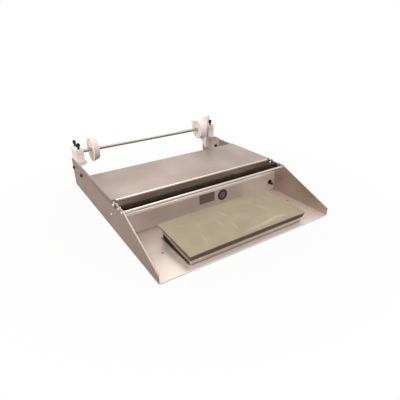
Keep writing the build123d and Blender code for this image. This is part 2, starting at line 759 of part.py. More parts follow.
def thumb_screw(y, turned):
    """Black thumb screw with a flat oval blade, turned by some degrees about its axis."""
    foot_z = block_top_z + thumb_lift
    stud = rod_z(thumb_stud, shaft_z - thumb_stud_depth, foot_z, 0, 0)
    collar = rod_z(thumb_collar, foot_z, foot_z + thumb_collar_height, 0, 0)
    collar = chamfer(collar.edges().group_by(Axis.Z)[-1], thumb_collar_chamfer)
    neck = rod_z(thumb_neck, foot_z, foot_z + thumb_collar_height + thumb_neck_length, 0, 0)
    oval = RectangleRounded(thumb_blade_width, thumb_blade_height, thumb_blade_round)
    blade = extrude(Plane.XZ.offset(-thumb_blade_thickness / 2) * oval, thumb_blade_thickness)
    rims = blade.edges().group_by(Axis.Y)
    blade = chamfer(rims[0] + rims[-1], thumb_blade_chamfer)
    blade = Pos(0, 0, foot_z + thumb_collar_height + thumb_blade_height / 2) * blade
    return Pos(block_middle_x, y, 0) * Rot(0, 0, turned) * (stud + collar + neck + blade)


# Roll shaft, core cones and wing nut

def roll_shaft():
    """Bright shaft that carries the film roll."""
    shaft = rod_x(shaft_radius, -shaft_end_x, shaft_end_x, shaft_y, shaft_z)
    ends = shaft.edges().filter_by(GeomType.CIRCLE)
    return chamfer(ends, shaft_chamfer)


def core_cone(large_face_x, towards):
    """Core cone: large face outboard, small face towards the film roll, both dished."""
    hole = shaft_radius + running_gap
    rim_outer = cone_large - cone_rim
    rim_inner = cone_small - cone_rim
    floor_u = cone_width - cone_recess
    points = [(cone_recess, hole), (cone_recess, rim_outer), (0, rim_outer), (0, cone_large),
              (cone_width, cone_small), (cone_width, rim_inner), (floor_u, rim_inner),
              (floor_u, hole)]
    section = outline([(towards * u, v) for u, v in points])
    cone = revolve(Plane.XZ * section, Axis.X)
    rims = [e for e in cone.edges().filter_by(GeomType.CIRCLE)
            if min(abs(e.radius - cone_large), abs(e.radius - cone_small)) < 0.01]
    cone = chamfer(rims, cone_edge)
    return Pos(large_face_x, shaft_y, shaft_z) * cone


def set_screw_tool(inner, outer, radius):
    """Radial bar through the left cone where its set screw goes."""
    middle_x = cone_left_x + cone_width / 2
    turned = Rot(set_screw_angle - 90, 0, 0)
    return Pos(middle_x, shaft_y, shaft_z) * turned * Pos(0, 0, inner) * peg(
        radius, outer - inner)


def cone_set_screw():
    """Set screw that clamps the left cone to the shaft."""
    screw = set_screw_tool(shaft_radius + running_gap, cone_small, set_screw_radius)
    socket = set_screw_tool(cone_small - set_screw_socket_depth, cone_small + 1,
                            set_screw_socket)
    return screw - socket


def core_cone_left():
    """Left cone with the hole for its set screw."""
    cone = core_cone(cone_left_x, 1)
    return cone - set_screw_tool(0, cone_large + 1, set_screw_radius + snug_gap)


def wing_point(radius, turned):
    """A point of the wing nut's outline, drawn as (Y, Z) about the shaft."""
    angle = radians(wing_angle + turned)
    return (radius * cos(angle), radius * sin(angle))


def wing_nut():
    """Wing nut behind the right cone: three pointed wings with hollow sides."""
    sides = []
    step = 360 / wings
    for wing in range(wings):
        start = step * wing
        sides.append(ThreePointArc(wing_point(wing_radius, start),
                                   wing_point(wing_waist, start + step / 2),
                                   wing_point(wing_radius, start + step)))
    star = make_face(sides)
    star = fillet(star.vertices(), wing_tip)
    near = cone_right_x + wing_gap
    nut = extrude(Plane.YZ * star, wing_thickness)
    nut = chamfer(nut.edges().filter_by(Plane.YZ), wing_edge)
    nut = nut + Pos(wing_thickness, 0, 0) * Rot(0, 90, 0) * peg(wing_hub, wing_hub_length)
    nut = Pos(near, shaft_y, shaft_z) * nut
    return nut - rod_x(shaft_radius + running_gap, near - 1, outer_x, shaft_y, shaft_z)


# Hot plate, drawn level in its own frame and then tilted

def plate_pan():
    """Hot plate: a shallow pan upside down, with rounded corners."""
    outer = Pos(0, plate_depth / 2, 0) * extrude(
        RectangleRounded(plate_width, plate_depth, plate_round), plate_side)
    outer = chamfer(outer.edges().group_by(Axis.Z)[-1], plate_edge)
    inner = Pos(0, plate_depth / 2, 0) * extrude(
        RectangleRounded(plate_width - 2 * sheet, plate_depth - 2 * sheet,
                         plate_round - sheet), plate_side - sheet)
    return plate_frame * (outer - inner)


def heater_mat():
    """Flat heating mat against the underside of the plate, with its lead-out tab."""
    mat = extrude(RectangleRounded(plate_width - 2 * heater_inset,
                                   plate_depth - 2 * heater_inset, heater_inset),
                  heater_thickness)
    return plate_frame * Pos(0, plate_depth / 2, plate_side - sheet - heater_thickness) * mat


def plate_thermostat():
    """Round snap-disc thermostat under the heating mat, with two terminals."""
    body = peg(thermostat_radius, thermostat_height)
    ears = Box(2 * terminal_reach, terminal_width, terminal_thickness,
               align=(Align.CENTER, Align.CENTER, Align.MAX))
    top = plate_side - sheet - heater_thickness
    return plate_frame * Pos(0, plate_depth / 2, top - thermostat_height) * (
        body + Pos(0, 0, thermostat_height) * ears)


def cover_outline(overhang, level):
    """Outline of the cover at one level above the plate's face."""
    return Pos(0, 0, level) * RectangleRounded(
        plate_width + 2 * overhang, plate_depth + 2 * overhang, plate_round + overhang)


def hot_plate_cover():
    """Padded cover on the plate: sides that draw in to a hem just below the plate's face."""
    shoulder = cover_pad - cover_shoulder
    sides = loft([cover_outline(cover_hem_overhang, -cover_hem).face(),
                  cover_outline(cover_overhang, shoulder).face()])
    crown = loft([cover_outline(cover_overhang, shoulder).face(),
                  cover_outline(cover_overhang - cover_shoulder, cover_pad).face()])
    pocket = extrude(cover_outline(cover_gap, -2 * cover_hem), 2 * cover_hem)
    cover = sides + crown - pocket
    return plate_frame * Pos(0, plate_depth / 2, plate_side) * cover


def snap_places():
    """Snaps along the front rim and one on the left rim, in the plate's frame."""
    level = plate_side - cover_hem - cover_gap - snap_radius
    front = [(x, 0, level, 0) for x in (-snap_spread, 0, snap_spread)]
    return front + [(-plate_width / 2, side_snap_y, level, -90)]


def cover_snap(x, y, z, turned):
    """One snap button on the plate's rim with its rivet through the rim."""
    button = tapered(snap_radius, snap_crown, snap_height)
    rivet = Pos(0, 0, -sheet) * peg(snap_rivet, sheet)
    return plate_frame * Pos(x, y, z) * Rot(0, 0, turned) * Rot(90, 0, 0) * (button + rivet)


def cover_snaps():
    """All the snap buttons that hold the cover."""
    return [cover_snap(*place) for place in snap_places()]


def snap_holes():
    """Holes for the snap buttons' rivets in the plate's rim."""
    through = Pos(0, 0, -2 * sheet) * peg(snap_rivet + snug_gap, 3 * sheet)
    return [plate_frame * Pos(x, y, z) * Rot(0, 0, turned) * Rot(90, 0, 0) * through
            for x, y, z, turned in snap_places()]


def rear_rim_z(up):
    """Height of the plate's rear rim, some way up from its lower edge."""
    tilt = radians(plate_tilt)
    return plate_front_z + plate_depth * sin(tilt) + up * cos(tilt)


def plate_base():
    """Folded base under the hot plate: rear wall, front rest and low side lips."""
    half = base_width / 2
    rest_y = plate_front_y + rest_setback
    wall_rear_y = base_wall_y + base_sheet
    floor = block(-half, half, rest_y, wall_rear_y, floor_z, floor_z + base_sheet)
    rest = block(-plate_width / 2 + plate_round, plate_width / 2 - plate_round,
                 rest_y, rest_y + base_sheet, floor_z,
                 plate_front_z + (rest_y - plate_front_y) * tan(radians(plate_tilt)))
    lip = block(half - base_sheet, half, rest_y, wall_rear_y, floor_z, floor_z + base_lip)
    wall_x = plate_width / 2 - plate_round
    wall = block(-wall_x, wall_x, base_wall_y, wall_rear_y, floor_z,
                 rear_rim_z(plate_side - cover_hem - cover_gap))
    base = floor + rest + lip + mirrored(lip) + wall
    holes = [rod_y(conduit_radius + snug_gap, base_wall_y - 1, wall_rear_y + 1,
                   conduit_x, conduit_z)]
    return cut(base, holes + plate_screw_holes())


def plate_screw_z():
    """Height of the screws through the base's rear wall into the plate's rim."""
    return rear_rim_z(plate_side / 2)


def plate_screw_holes():
    """Holes for those screws through wall and rim."""
    return [rod_y(plate_screw_shank + snug_gap, base_wall_y - 4 * sheet,
                  base_wall_y + 2 * base_sheet, x, plate_screw_z())
            for x in (-plate_screw_x, plate_screw_x)]


def plate_screw():
    """Screw through the base's rear wall into the plate's rear rim."""
    screw = pan_screw(plate_screw_head, plate_screw_head_height, plate_screw_shank, 2 * sheet)
    return Pos(plate_screw_x, base_wall_y + base_sheet, plate_screw_z()) * Rot(-90, 0, 0) * screw


def hot_plate():
    """The pan with holes for the screws of its rear rim and for the snap buttons."""
    return cut(plate_pan(), plate_screw_holes() + snap_holes())


# Switch, wiring housing and conduit

def switch_case():
    """Switch body behind the front panel, with its bushing through the panel."""
    wide, deep, high = switch_body
    back_y = front_panel_y + sheet
    case = block(switch_x - wide / 2, switch_x + wide / 2, back_y, back_y + deep,
                 switch_z - high / 2, switch_z + high / 2)
    bushing = rod_y(bushing_radius, front_panel_y - bushing_length, back_y, switch_x, switch_z)
    socket = rod_y(bushing_bore, front_panel_y - bushing_length - 1, back_y, switch_x, switch_z)
    seat = Pos(switch_x, front_panel_y, switch_z) * Sphere(toggle_ball + running_gap)
    return case + bushing - socket - seat


def switch_nut():
    """Hex nut that clamps the switch to the front panel."""
    nut = hexagon(switch_nut_flats, switch_nut_height)
    nut = nut - peg(bushing_radius + snug_gap, switch_nut_height)
    return Pos(switch_x, front_panel_y, switch_z) * Rot(90, 0, 0) * nut


def switch_boot():
    """Black rubber boot ring round the bushing, in front of the nut."""
    bore = bushing_radius + running_gap
    ring = tapered(boot_radius, bore + boot_lip, boot_height) - peg(bore, boot_height)
    return Pos(switch_x, front_panel_y - switch_nut_height, switch_z) * Rot(90, 0, 0) * ring


def switch_lever():
    """Toggle lever: a ball in the bushing and a tapered handle that points down at rest."""
    handle = tapered(toggle_root, toggle_tip, toggle_length)
    handle = chamfer(handle.edges().group_by(Axis.Z)[-1], toggle_tip_chamfer)
    lever = Sphere(toggle_ball) + handle
    return Pos(switch_x, front_panel_y, switch_z) * Rot(90 + toggle_rest, 0, 0) * lever


def wiring_housing():
    """Sheet housing behind the front panel over the switch and the terminals."""
    left, right = housing_left_x, housing_right_x
    front, rear = front_panel_y + front_panel_foot, housing_rear_y
    top = floor_z + housing_height
    outer = block(left, right, front, rear, floor_z, top)
    outer = fillet(outer.edges().filter_by(Axis.X).group_by(Axis.Z)[-1].sort_by(Axis.Y)[-1:],
                   sheet_bend + housing_sheet)
    inner = block(left + housing_sheet, right - housing_sheet, front - 1,
                  rear - housing_sheet, floor_z - 1, top - housing_sheet)
    flange = block(left - housing_flange, left + housing_sheet, front, rear,
                   floor_z, floor_z + housing_sheet)
    rear_flange = block(left, right, rear - housing_sheet, rear + housing_flange,
                        floor_z, floor_z + housing_sheet)
    housing = outer - inner + flange + rear_flange
    return housing - rod_y(gland_thread + snug_gap, rear - 2 * housing_sheet, rear + 1,
                           gland_x, gland_z)


def terminal_block():
    """Terminal block on the floor inside the housing, with its screw wells."""
    left = conduit_x + conduit_inset
    rear = housing_rear_y - terminal_setback
    top = floor_z + terminal_height
    strip = block(left, left + terminal_ways * terminal_pitch, rear - terminal_depth, rear,
                  floor_z, top)
    wells = [rod_z(terminal_well, top - terminal_well_depth, top + 1,
                   left + (way + 0.5) * terminal_pitch, rear - terminal_depth / 2)
             for way in range(terminal_ways)]
    return cut(strip, wells)


def cord_gland():
    """Cord gland in the housing's rear wall: hex body, thread, lock nut and nose."""
    flange_y = housing_rear_y
    body = Pos(gland_x, flange_y, gland_z) * Rot(-90, 0, 0) * hexagon(gland_flats, gland_hex)
    nose = Pos(gland_x, flange_y + gland_hex, gland_z) * Rot(-90, 0, 0) * tapered(
        gland_flats / 2, gland_thread, gland_nose)
    thread = rod_y(gland_thread, flange_y - gland_inside, flange_y, gland_x, gland_z)
    nut_y = flange_y - housing_sheet
    nut = Pos(gland_x, nut_y, gland_z) * Rot(90, 0, 0) * hexagon(gland_flats, gland_nut)
    bore = rod_y(gland_bore, flange_y - gland_inside - 1, flange_y + gland_hex + gland_nose + 1,
                 gland_x, gland_z)
    return body + nose + thread + nut - bore


def wire_conduit():
    """Straight steel tube for the heater's wires, from under the plate into the housing."""
    ends = (base_wall_y - conduit_reach, front_panel_y + sheet + conduit_reach)
    return (rod_y(conduit_radius, *ends, conduit_x, conduit_z)
            - rod_y(conduit_bore, *ends, conduit_x, conduit_z))


def conduit_grommet():
    """Rubber grommet round the conduit in the front panel."""
    wall = conduit_radius + grommet_wall
    lip = wall + grommet_lip
    back_y = front_panel_y + sheet
    grommet = (rod_y(wall, front_panel_y, back_y, conduit_x, conduit_z)
               + rod_y(lip, front_panel_y - grommet_lip, front_panel_y, conduit_x, conduit_z)
               + rod_y(lip, back_y, back_y + grommet_lip, conduit_x, conduit_z))
    return grommet - rod_y(conduit_radius + snug_gap, front_panel_y - 2 * grommet_lip,
                           back_y + 2 * grommet_lip, conduit_x, conduit_z)


# Feet and small fasteners

def rubber_foot(x, y):
    """Tapered rubber foot with a sunk screw hole."""
    foot = tapered(foot_bottom_radius, foot_radius, foot_height)
    foot = foot - peg(foot_cavity, foot_cavity_depth) - peg(screw_shank + snug_gap, foot_height)
    return Pos(x, y, 0) * foot


def foot_screw(x, y):
    """Screw up through a foot into the bottom flange."""
    length = foot_height - foot_cavity_depth + sheet
    screw = pan_screw(screw_head, screw_head_height, screw_shank, length)
    return Pos(x, y, foot_cavity_depth) * Rot(180, 0, 0) * screw


def tray_screw(x, y):
    """Small dark screw in the tray floor beside the hot plate."""
    screw = pan_screw(tray_screw_head, tray_screw_head_height, screw_shank, sheet)
    return Pos(x, y, floor_z) * screw


thumb_turns = {
    "left_front": (-1, 0, -5.0),
    "left_rear": (-1, 1, 62.0),
    "right_front": (1, 0, 4.0),
    "right_rear": (1, 1, 20.0),
}


def build():
    """Every node by name."""
    right_panel = side_panel()
    right_bracket = ear_bracket()
    right_base = block_base()
    right_cap = block_cap_piece()
    nodes = {
        "side_panel_right": right_panel,
        "side_panel_left": mirrored(right_panel),
        "tray_floor": tray_floor(),
        "front_panel": front_panel(),
        "cross_brace": cross_brace(),
        "rear_channel": rear_channel(),
        "deck_lid": deck_lid(),
        "pivot_screws": both_sides(pivot_screw()),
        "pivot_washers": both_sides(pivot_washer_ring()),
        "pivot_acorn_nuts": both_sides(pivot_nut()),
        "guide_roller": guide_roller(),
        "roller_bushes": both_sides(roller_bush()),
        "roller_axle": roller_axle(),
        "axle_screws": both_sides(body_screw(roller_y, roller_z, sheet + bush_length)),
        "brace_screws": both_sides(body_screw(brace_y, brace_z, 3 * sheet)),
        "cutoff_rod": cutoff_rod(),
        "rod_insulators": both_sides(rod_insulator()),
        "rod_screws": both_sides(rod_screw()),
        "ear_bracket_right": right_bracket,
        "ear_bracket_left": mirrored(right_bracket),
        "ear_bolts": group([side for y in ear_bolt_places
                            for side in (ear_bolt(y), mirrored(ear_bolt(y)))]),
        "ear_nuts": group([side for y in ear_bolt_places
                           for side in (ear_nut(y), mirrored(ear_nut(y)))]),
        "ear_rivets": both_sides(ear_rivet()),
        "block_screws": group([side for y in block_screw_places()
                               for side in (block_screw(y), mirrored(block_screw(y)))]),
        "bearing_base_right": right_base,
        "bearing_base_left": mirrored(right_base),
        "bearing_cap_right": right_cap,
        "bearing_cap_left": mirrored(right_cap),
        "roll_shaft": roll_shaft(),
        "core_cone_left": core_cone_left(),
        "cone_set_screw": cone_set_screw(),
        "core_cone_right": core_cone(cone_right_x, -1),
        "wing_nut": wing_nut(),
        "hot_plate": hot_plate(),
        "heater_mat": heater_mat(),
        "plate_thermostat": plate_thermostat(),
        "hot_plate_cover": hot_plate_cover(),
        "cover_snaps": group(cover_snaps()),
        "hot_plate_base": plate_base(),
        "plate_screws": both_sides(plate_screw()),
        "switch_case": switch_case(),
        "switch_nut": switch_nut(),
        "switch_boot": switch_boot(),
        "switch_lever": switch_lever(),
        "wiring_housing": wiring_housing(),
        "terminal_block": terminal_block(),
        "cord_gland": cord_gland(),
        "wire_conduit": wire_conduit(),
        "conduit_grommet": conduit_grommet(),
        "rubber_feet": group([rubber_foot(x, y) for x, y in foot_places]),
        "foot_screws": group([foot_screw(x, y) for x, y in foot_places]),
        "tray_screws": group([tray_screw(x, y) for x, y in tray_screw_places]),
    }
    for name, (side, rear, turned) in thumb_turns.items():
        screw = thumb_screw(thumb_places()[rear], turned)
        nodes[f"thumb_screw_{name}"] = screw if side > 0 else mirrored(screw)
    return nodes


if __name__ == "__main__":
    os.makedirs("parts", exist_ok=True)
    pieces = build()
    overhang = pieces["wing_nut"].bounding_box().max.Y - rear_y
    for node, shape in pieces.items():
        save(node, shape, overhang / 2)
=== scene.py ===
"""Film wrapping machine: finishes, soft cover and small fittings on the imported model."""

import logging
from collections.abc import Callable, Iterable, Mapping, Sequence
from dataclasses import dataclass, field
from enum import Enum
from math import asin, atan2, cos, exp, hypot, pi, radians, sin, tau

import bmesh
import bpy
from mathutils import Euler, Matrix, Vector


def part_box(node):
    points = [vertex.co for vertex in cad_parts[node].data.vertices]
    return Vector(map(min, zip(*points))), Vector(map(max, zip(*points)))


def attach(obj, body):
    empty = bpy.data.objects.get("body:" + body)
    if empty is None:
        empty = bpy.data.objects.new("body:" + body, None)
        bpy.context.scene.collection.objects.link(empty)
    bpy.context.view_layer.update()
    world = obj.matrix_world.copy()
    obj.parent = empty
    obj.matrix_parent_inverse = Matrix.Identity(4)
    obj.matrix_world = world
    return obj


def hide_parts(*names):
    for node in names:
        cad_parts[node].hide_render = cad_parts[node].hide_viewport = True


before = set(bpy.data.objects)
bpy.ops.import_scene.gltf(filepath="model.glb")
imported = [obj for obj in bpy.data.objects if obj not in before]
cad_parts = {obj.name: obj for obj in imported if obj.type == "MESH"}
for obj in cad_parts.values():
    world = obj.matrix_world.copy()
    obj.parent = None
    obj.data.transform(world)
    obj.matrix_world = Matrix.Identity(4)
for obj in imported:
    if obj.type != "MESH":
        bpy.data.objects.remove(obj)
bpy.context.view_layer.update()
NODES: dict[str, bpy.types.Object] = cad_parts
MM = 0.001

log = logging.getLogger("film_wrapper")

Colour = tuple[float, float, float, float]
Point = tuple[float, float, float]


# Small helpers for colours, shader nodes and meshes

def linear(tint: str) -> Colour:
    """Turns an sRGB hex colour into the linear colour that shaders take.

    Args:
        tint: The colour as six hex digits, with or without a leading hash.

    Returns:
        Red, green, blue and alpha, linear.
    """
    digits = tint.lstrip("#")
    channels = []
    for start in (0, 2, 4):
        value = int(digits[start:start + 2], 16) / 255
        channels.append(value / 12.92 if value <= 0.04045 else ((value + 0.055) / 1.055) ** 2.4)
    return (channels[0], channels[1], channels[2], 1.0)


def per_metre(spacing_mm: float) -> float:
    """Pattern repeats in a metre for a spacing in millimetres."""
    return 1.0 / (spacing_mm * MM)


def add_node(
    tree: bpy.types.NodeTree,
    kind: str,
    values: Mapping[str | int, object] | None = None,
    links: Mapping[str | int, bpy.types.NodeSocket] | None = None,
    **settings: object,
) -> bpy.types.Node:
    """Adds one shader node with its settings, socket values and links.

    Args:
        tree: The node tree that gets the node.
        kind: Blender's name for the node type.
        values: Input socket to its constant value.
        links: Input socket to the output socket that feeds it.
        **settings: Attributes of the node itself.

    Returns:
        The new node.
    """
    node = tree.nodes.new(kind)
    for key, value in settings.items():
        setattr(node, key, value)
    for key, value in (values or {}).items():
        node.inputs[key].default_value = value
    for key, socket in (links or {}).items():
        tree.links.new(socket, node.inputs[key])
    return node


def new_material(name: str) -> tuple[bpy.types.Material, bpy.types.NodeTree]:
    """Makes an empty node material.

    Args:
        name: The material's name.

    Returns:
        The material and its node tree.
    """
    material = bpy.data.materials.new(name)
    material.use_nodes = True
    material.node_tree.nodes.clear()
    return material, material.node_tree


def blend_tints(
    tree: bpy.types.NodeTree,
    factor: bpy.types.NodeSocket,
    tints: Sequence[tuple[float, str]],
) -> bpy.types.NodeSocket:
    """Runs a pattern through a colour ramp.

    Args:
        tree: The node tree.
        factor: The pattern's output.
        tints: Place on the ramp and hex colour of each stop.

    Returns:
        The ramp's colour output.
    """
    ramp = add_node(tree, "ShaderNodeValToRGB", links={"Fac": factor})
    stops = ramp.color_ramp.elements
    while len(stops) < len(tints):
        stops.new(0.5)
    for stop, (place, tint) in zip(stops, tints):
        stop.position = place
        stop.color = linear(tint)
    return ramp.outputs["Color"]


def spread(
    tree: bpy.types.NodeTree,
    factor: bpy.types.NodeSocket,
    low: float,
    high: float,
) -> bpy.types.NodeSocket:
    """Maps a pattern from its usual middle range onto low to high.

    Args:
        tree: The node tree.
        factor: The pattern's output.
        low: Value where the pattern is dark.
        high: Value where the pattern is light.

    Returns:
        The mapped value.
    """
    mapped = add_node(tree, "ShaderNodeMapRange",
                      values={"From Min": 0.3, "From Max": 0.7, "To Min": low, "To Max": high},
                      links={"Value": factor})
    return mapped.outputs["Result"]


def mesh_piece(name: str, shape: bmesh.types.BMesh, smooth: bool = True) -> bpy.types.Object:
    """Turns a bmesh into an object in the scene.

    Args:
        name: The piece's name.
        shape: The mesh, which is freed.
        smooth: Whether its faces are shaded smooth.

    Returns:
        The new object.
    """
    bmesh.ops.recalc_face_normals(shape, faces=shape.faces)
    for face in shape.faces:
        face.smooth = smooth
    mesh = bpy.data.meshes.new(name)
    shape.to_mesh(mesh)
    shape.free()
    piece = bpy.data.objects.new(name, mesh)
    bpy.context.scene.collection.objects.link(piece)
    return piece


def dress(piece: bpy.types.Object, material: bpy.types.Material) -> None:
    """Gives a piece one material in place of what it had."""
    piece.data.materials.clear()
    piece.data.materials.append(material)


def bake_modifiers(piece: bpy.types.Object) -> None:
    """Replaces a piece's mesh by what its modifiers make of it."""
    graph = bpy.context.evaluated_depsgraph_get()
    done = bpy.data.meshes.new_from_object(piece.evaluated_get(graph))
    piece.modifiers.clear()
    piece.data = done


def place(
    piece: bpy.types.Object,
    body: str,
    slot: str,
    material: bpy.types.Material,
    replaces: Sequence[str] = (),
) -> bpy.types.Object:
    """Dresses a new piece, puts it on its body and reports it.

    Args:
        piece: The piece, already in place.
        body: The CAD body that it moves with.
        slot: Not used.
        material: Its material.
        replaces: CAD nodes that it stands for.

    Returns:
        The same piece.
    """
    dress(piece, material)
    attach(piece, body)
    if replaces:
        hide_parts(*replaces)
    log.info("%s on %s, %d faces", piece.name, body, len(piece.data.polygons))
    return piece


def lathe(shape: bmesh.types.BMesh, profile: Sequence[tuple[float, float]], turn: Matrix,
          steps: int = 32) -> None:
    """Adds a closed turned body to a bmesh.

    Args:
        shape: The bmesh that gets the body.
        profile: Radius and height of each ring, in millimetres; a radius of 0 makes a tip.
        turn: Places the body, whose axis is Z.
        steps: Corners of each ring.
    """
    rings = []
    for radius, height in profile:
        if radius == 0:
            rings.append([shape.verts.new(turn @ Vector((0, 0, height * MM)))])
            continue
        rings.append([
            shape.verts.new(turn @ Vector((radius * cos(tau * i / steps) * MM,
                                           radius * sin(tau * i / steps) * MM, height * MM)))
            for i in range(steps)])
    for low, high in zip(rings, rings[1:]):
        for i in range(steps):
            j = (i + 1) % steps
            corners = [low[i % len(low)], low[j % len(low)], high[j % len(high)],
                       high[i % len(high)]]
            shape.faces.new(list(dict.fromkeys(corners)))
    for ring in (rings[0], rings[-1]):
        if len(ring) > 1:
            shape.faces.new(ring)


def rounded_loop(half_x: float, half_y: float, radius: float, spacing: float
                 ) -> list[tuple[float, float]]:
    """Points round a rectangle with rounded corners.

    Args:
        half_x: Half the width.
        half_y: Half the depth.
        radius: Corner radius.
        spacing: Rough distance between points on the straight runs.

    Returns:
        The points in order, in the units of the sizes.
    """
    corner_steps = 6
    corners = [(half_x - radius, half_y - radius, 0.0), (radius - half_x, half_y - radius, pi / 2),
               (radius - half_x, radius - half_y, pi), (half_x - radius, radius - half_y, 1.5 * pi)]
    loop: list[tuple[float, float]] = []
    for index, (x, y, start) in enumerate(corners):
        for step in range(corner_steps + 1):
            angle = start + pi / 2 * step / corner_steps
            loop.append((x + radius * cos(angle), y + radius * sin(angle)))
        next_x, next_y, next_start = corners[(index + 1) % 4]
        end = (next_x + radius * cos(next_start), next_y + radius * sin(next_start))
        last = loop[-1]
        runs = max(1, round(hypot(end[0] - last[0], end[1] - last[1]) / spacing))
        for run in range(1, runs):
            loop.append((last[0] + (end[0] - last[0]) * run / runs,
                         last[1] + (end[1] - last[1]) * run / runs))
    return loop


# Finishes, each named for its real material

class Grain(Enum):
    """Which way a sheet was brushed, as the pattern's stretch along X, Y and Z."""

    ACROSS = (0, 1, 1)
    REARWARD = (1, 0, 1)


@dataclass(frozen=True)
class BrushedStainless:
    """Stainless sheet with a fine brushed mill finish.

    The grain spreads reflections sideways, so the sheet looks soft and slightly streaked, with
    cloudy patches where hands and film have polished it.
    """

    name: str
    tint: str
    shade: str
    grain: Grain = Grain.ACROSS
    roughness: float = 0.36
    line_mm: float = 0.9          # real brush lines are about 0.1 mm, drawn coarser to show
    run_mm: float = 90.0          # length of a brush line
    cloud_mm: float = 140.0       # size of the polished patches
    metallic: float = 1.0         # less where a film of dust and grease scatters light
    bend_highlight: str = ""              # tint of the painted highlight on bends across the sheet

    def paint_bend_highlight(self, tree: bpy.types.NodeTree, colour: bpy.types.NodeSocket,
                  normal: bpy.types.NodeSocket) -> bpy.types.NodeSocket:
        """Brightens the first part of a bend across the sheet as a painted highlight.

        Args:
            tree: The node tree.
            colour: The sheet's colour.
            normal: The surface's direction in the piece's own frame.

        Returns:
            The colour with painted highlights on the bends.
        """
        parts = add_node(tree, "ShaderNodeSeparateXYZ", links={0: normal})
        lean = add_node(tree, "ShaderNodeMath", operation="ABSOLUTE",
                        links={0: parts.outputs["Y"]})
        share = blend_tints(tree, lean.outputs["Value"],
                            [(0.06, "#000000"), (0.2, "#ffffff"), (0.5, "#ffffff"),
                             (0.72, "#000000")])
        bright = add_node(tree, "ShaderNodeMix", data_type="RGBA",
                          values={7: linear(self.bend_highlight)}, links={0: share, 6: colour})
        return bright.outputs[2]

    def build(self) -> bpy.types.Material:
        """Makes the material."""
        material, tree = new_material(self.name)
        place_on = add_node(tree, "ShaderNodeTexCoord")
        lines = [per_metre(self.line_mm) if fine else per_metre(self.run_mm)
                 for fine in self.grain.value]
        stretch = add_node(tree, "ShaderNodeMapping", values={"Scale": lines},
                           links={"Vector": place_on.outputs["Object"]})
        brush = add_node(tree, "ShaderNodeTexNoise",
                         values={"Scale": 1.0, "Detail": 3.0, "Roughness": 0.6},
                         links={"Vector": stretch.outputs["Vector"]})
        clouds = add_node(tree, "ShaderNodeTexNoise",
                          values={"Scale": per_metre(self.cloud_mm), "Detail": 2.0,
                                  "Roughness": 0.45},
                          links={"Vector": place_on.outputs["Object"]})
        patches = blend_tints(tree, clouds.outputs["Fac"], [(0.3, self.shade), (0.7, self.tint)])
        # painted highlight on the bends, set by the surface's direction
        if self.bend_highlight:
            patches = self.paint_bend_highlight(tree, patches, place_on.outputs["Normal"])
        streaks = blend_tints(tree, brush.outputs["Fac"], [(0.25, "#ece9e6"), (0.75, "#ffffff")])
        colour = add_node(tree, "ShaderNodeMix", data_type="RGBA", blend_type="MULTIPLY",
                          values={"Factor": 1.0},
                          links={6: patches, 7: streaks})
        gloss = spread(tree, brush.outputs["Fac"], self.roughness - 0.05, self.roughness + 0.06)
        relief = add_node(tree, "ShaderNodeBump", values={"Strength": 0.06, "Distance": 0.0001},
                          links={"Height": brush.outputs["Fac"]})
        shader = add_node(tree, "ShaderNodeBsdfPrincipled", values={"Metallic": self.metallic},
                          links={"Base Color": colour.outputs[2], "Roughness": gloss,
                                 "Normal": relief.outputs["Normal"]})
        add_node(tree, "ShaderNodeOutputMaterial", links={"Surface": shader.outputs["BSDF"]})
        return material


@dataclass(frozen=True)
class MachinedMetal:
    """Turned, plated or blackened metal of small fittings.

    Fine turning marks and handling leave it glossy with small changes in gloss.
    """

    name: str
    tint: str
    roughness: float
    metallic: float = 1.0
    mark_mm: float = 1.6          # spacing of handling marks

    def build(self) -> bpy.types.Material:
        """Makes the material."""
        material, tree = new_material(self.name)
        place_on = add_node(tree, "ShaderNodeTexCoord")
        marks = add_node(tree, "ShaderNodeTexNoise",
                         values={"Scale": per_metre(self.mark_mm), "Detail": 4.0},
                         links={"Vector": place_on.outputs["Object"]})
        gloss = spread(tree, marks.outputs["Fac"], self.roughness * 0.8, self.roughness * 1.25)
        relief = add_node(tree, "ShaderNodeBump", values={"Strength": 0.05, "Distance": 0.00005},
                          links={"Height": marks.outputs["Fac"]})
        shader = add_node(tree, "ShaderNodeBsdfPrincipled",
                          values={"Metallic": self.metallic, "Base Color": linear(self.tint)},
                          links={"Roughness": gloss, "Normal": relief.outputs["Normal"]})
        add_node(tree, "ShaderNodeOutputMaterial", links={"Surface": shader.outputs["BSDF"]})
        return material


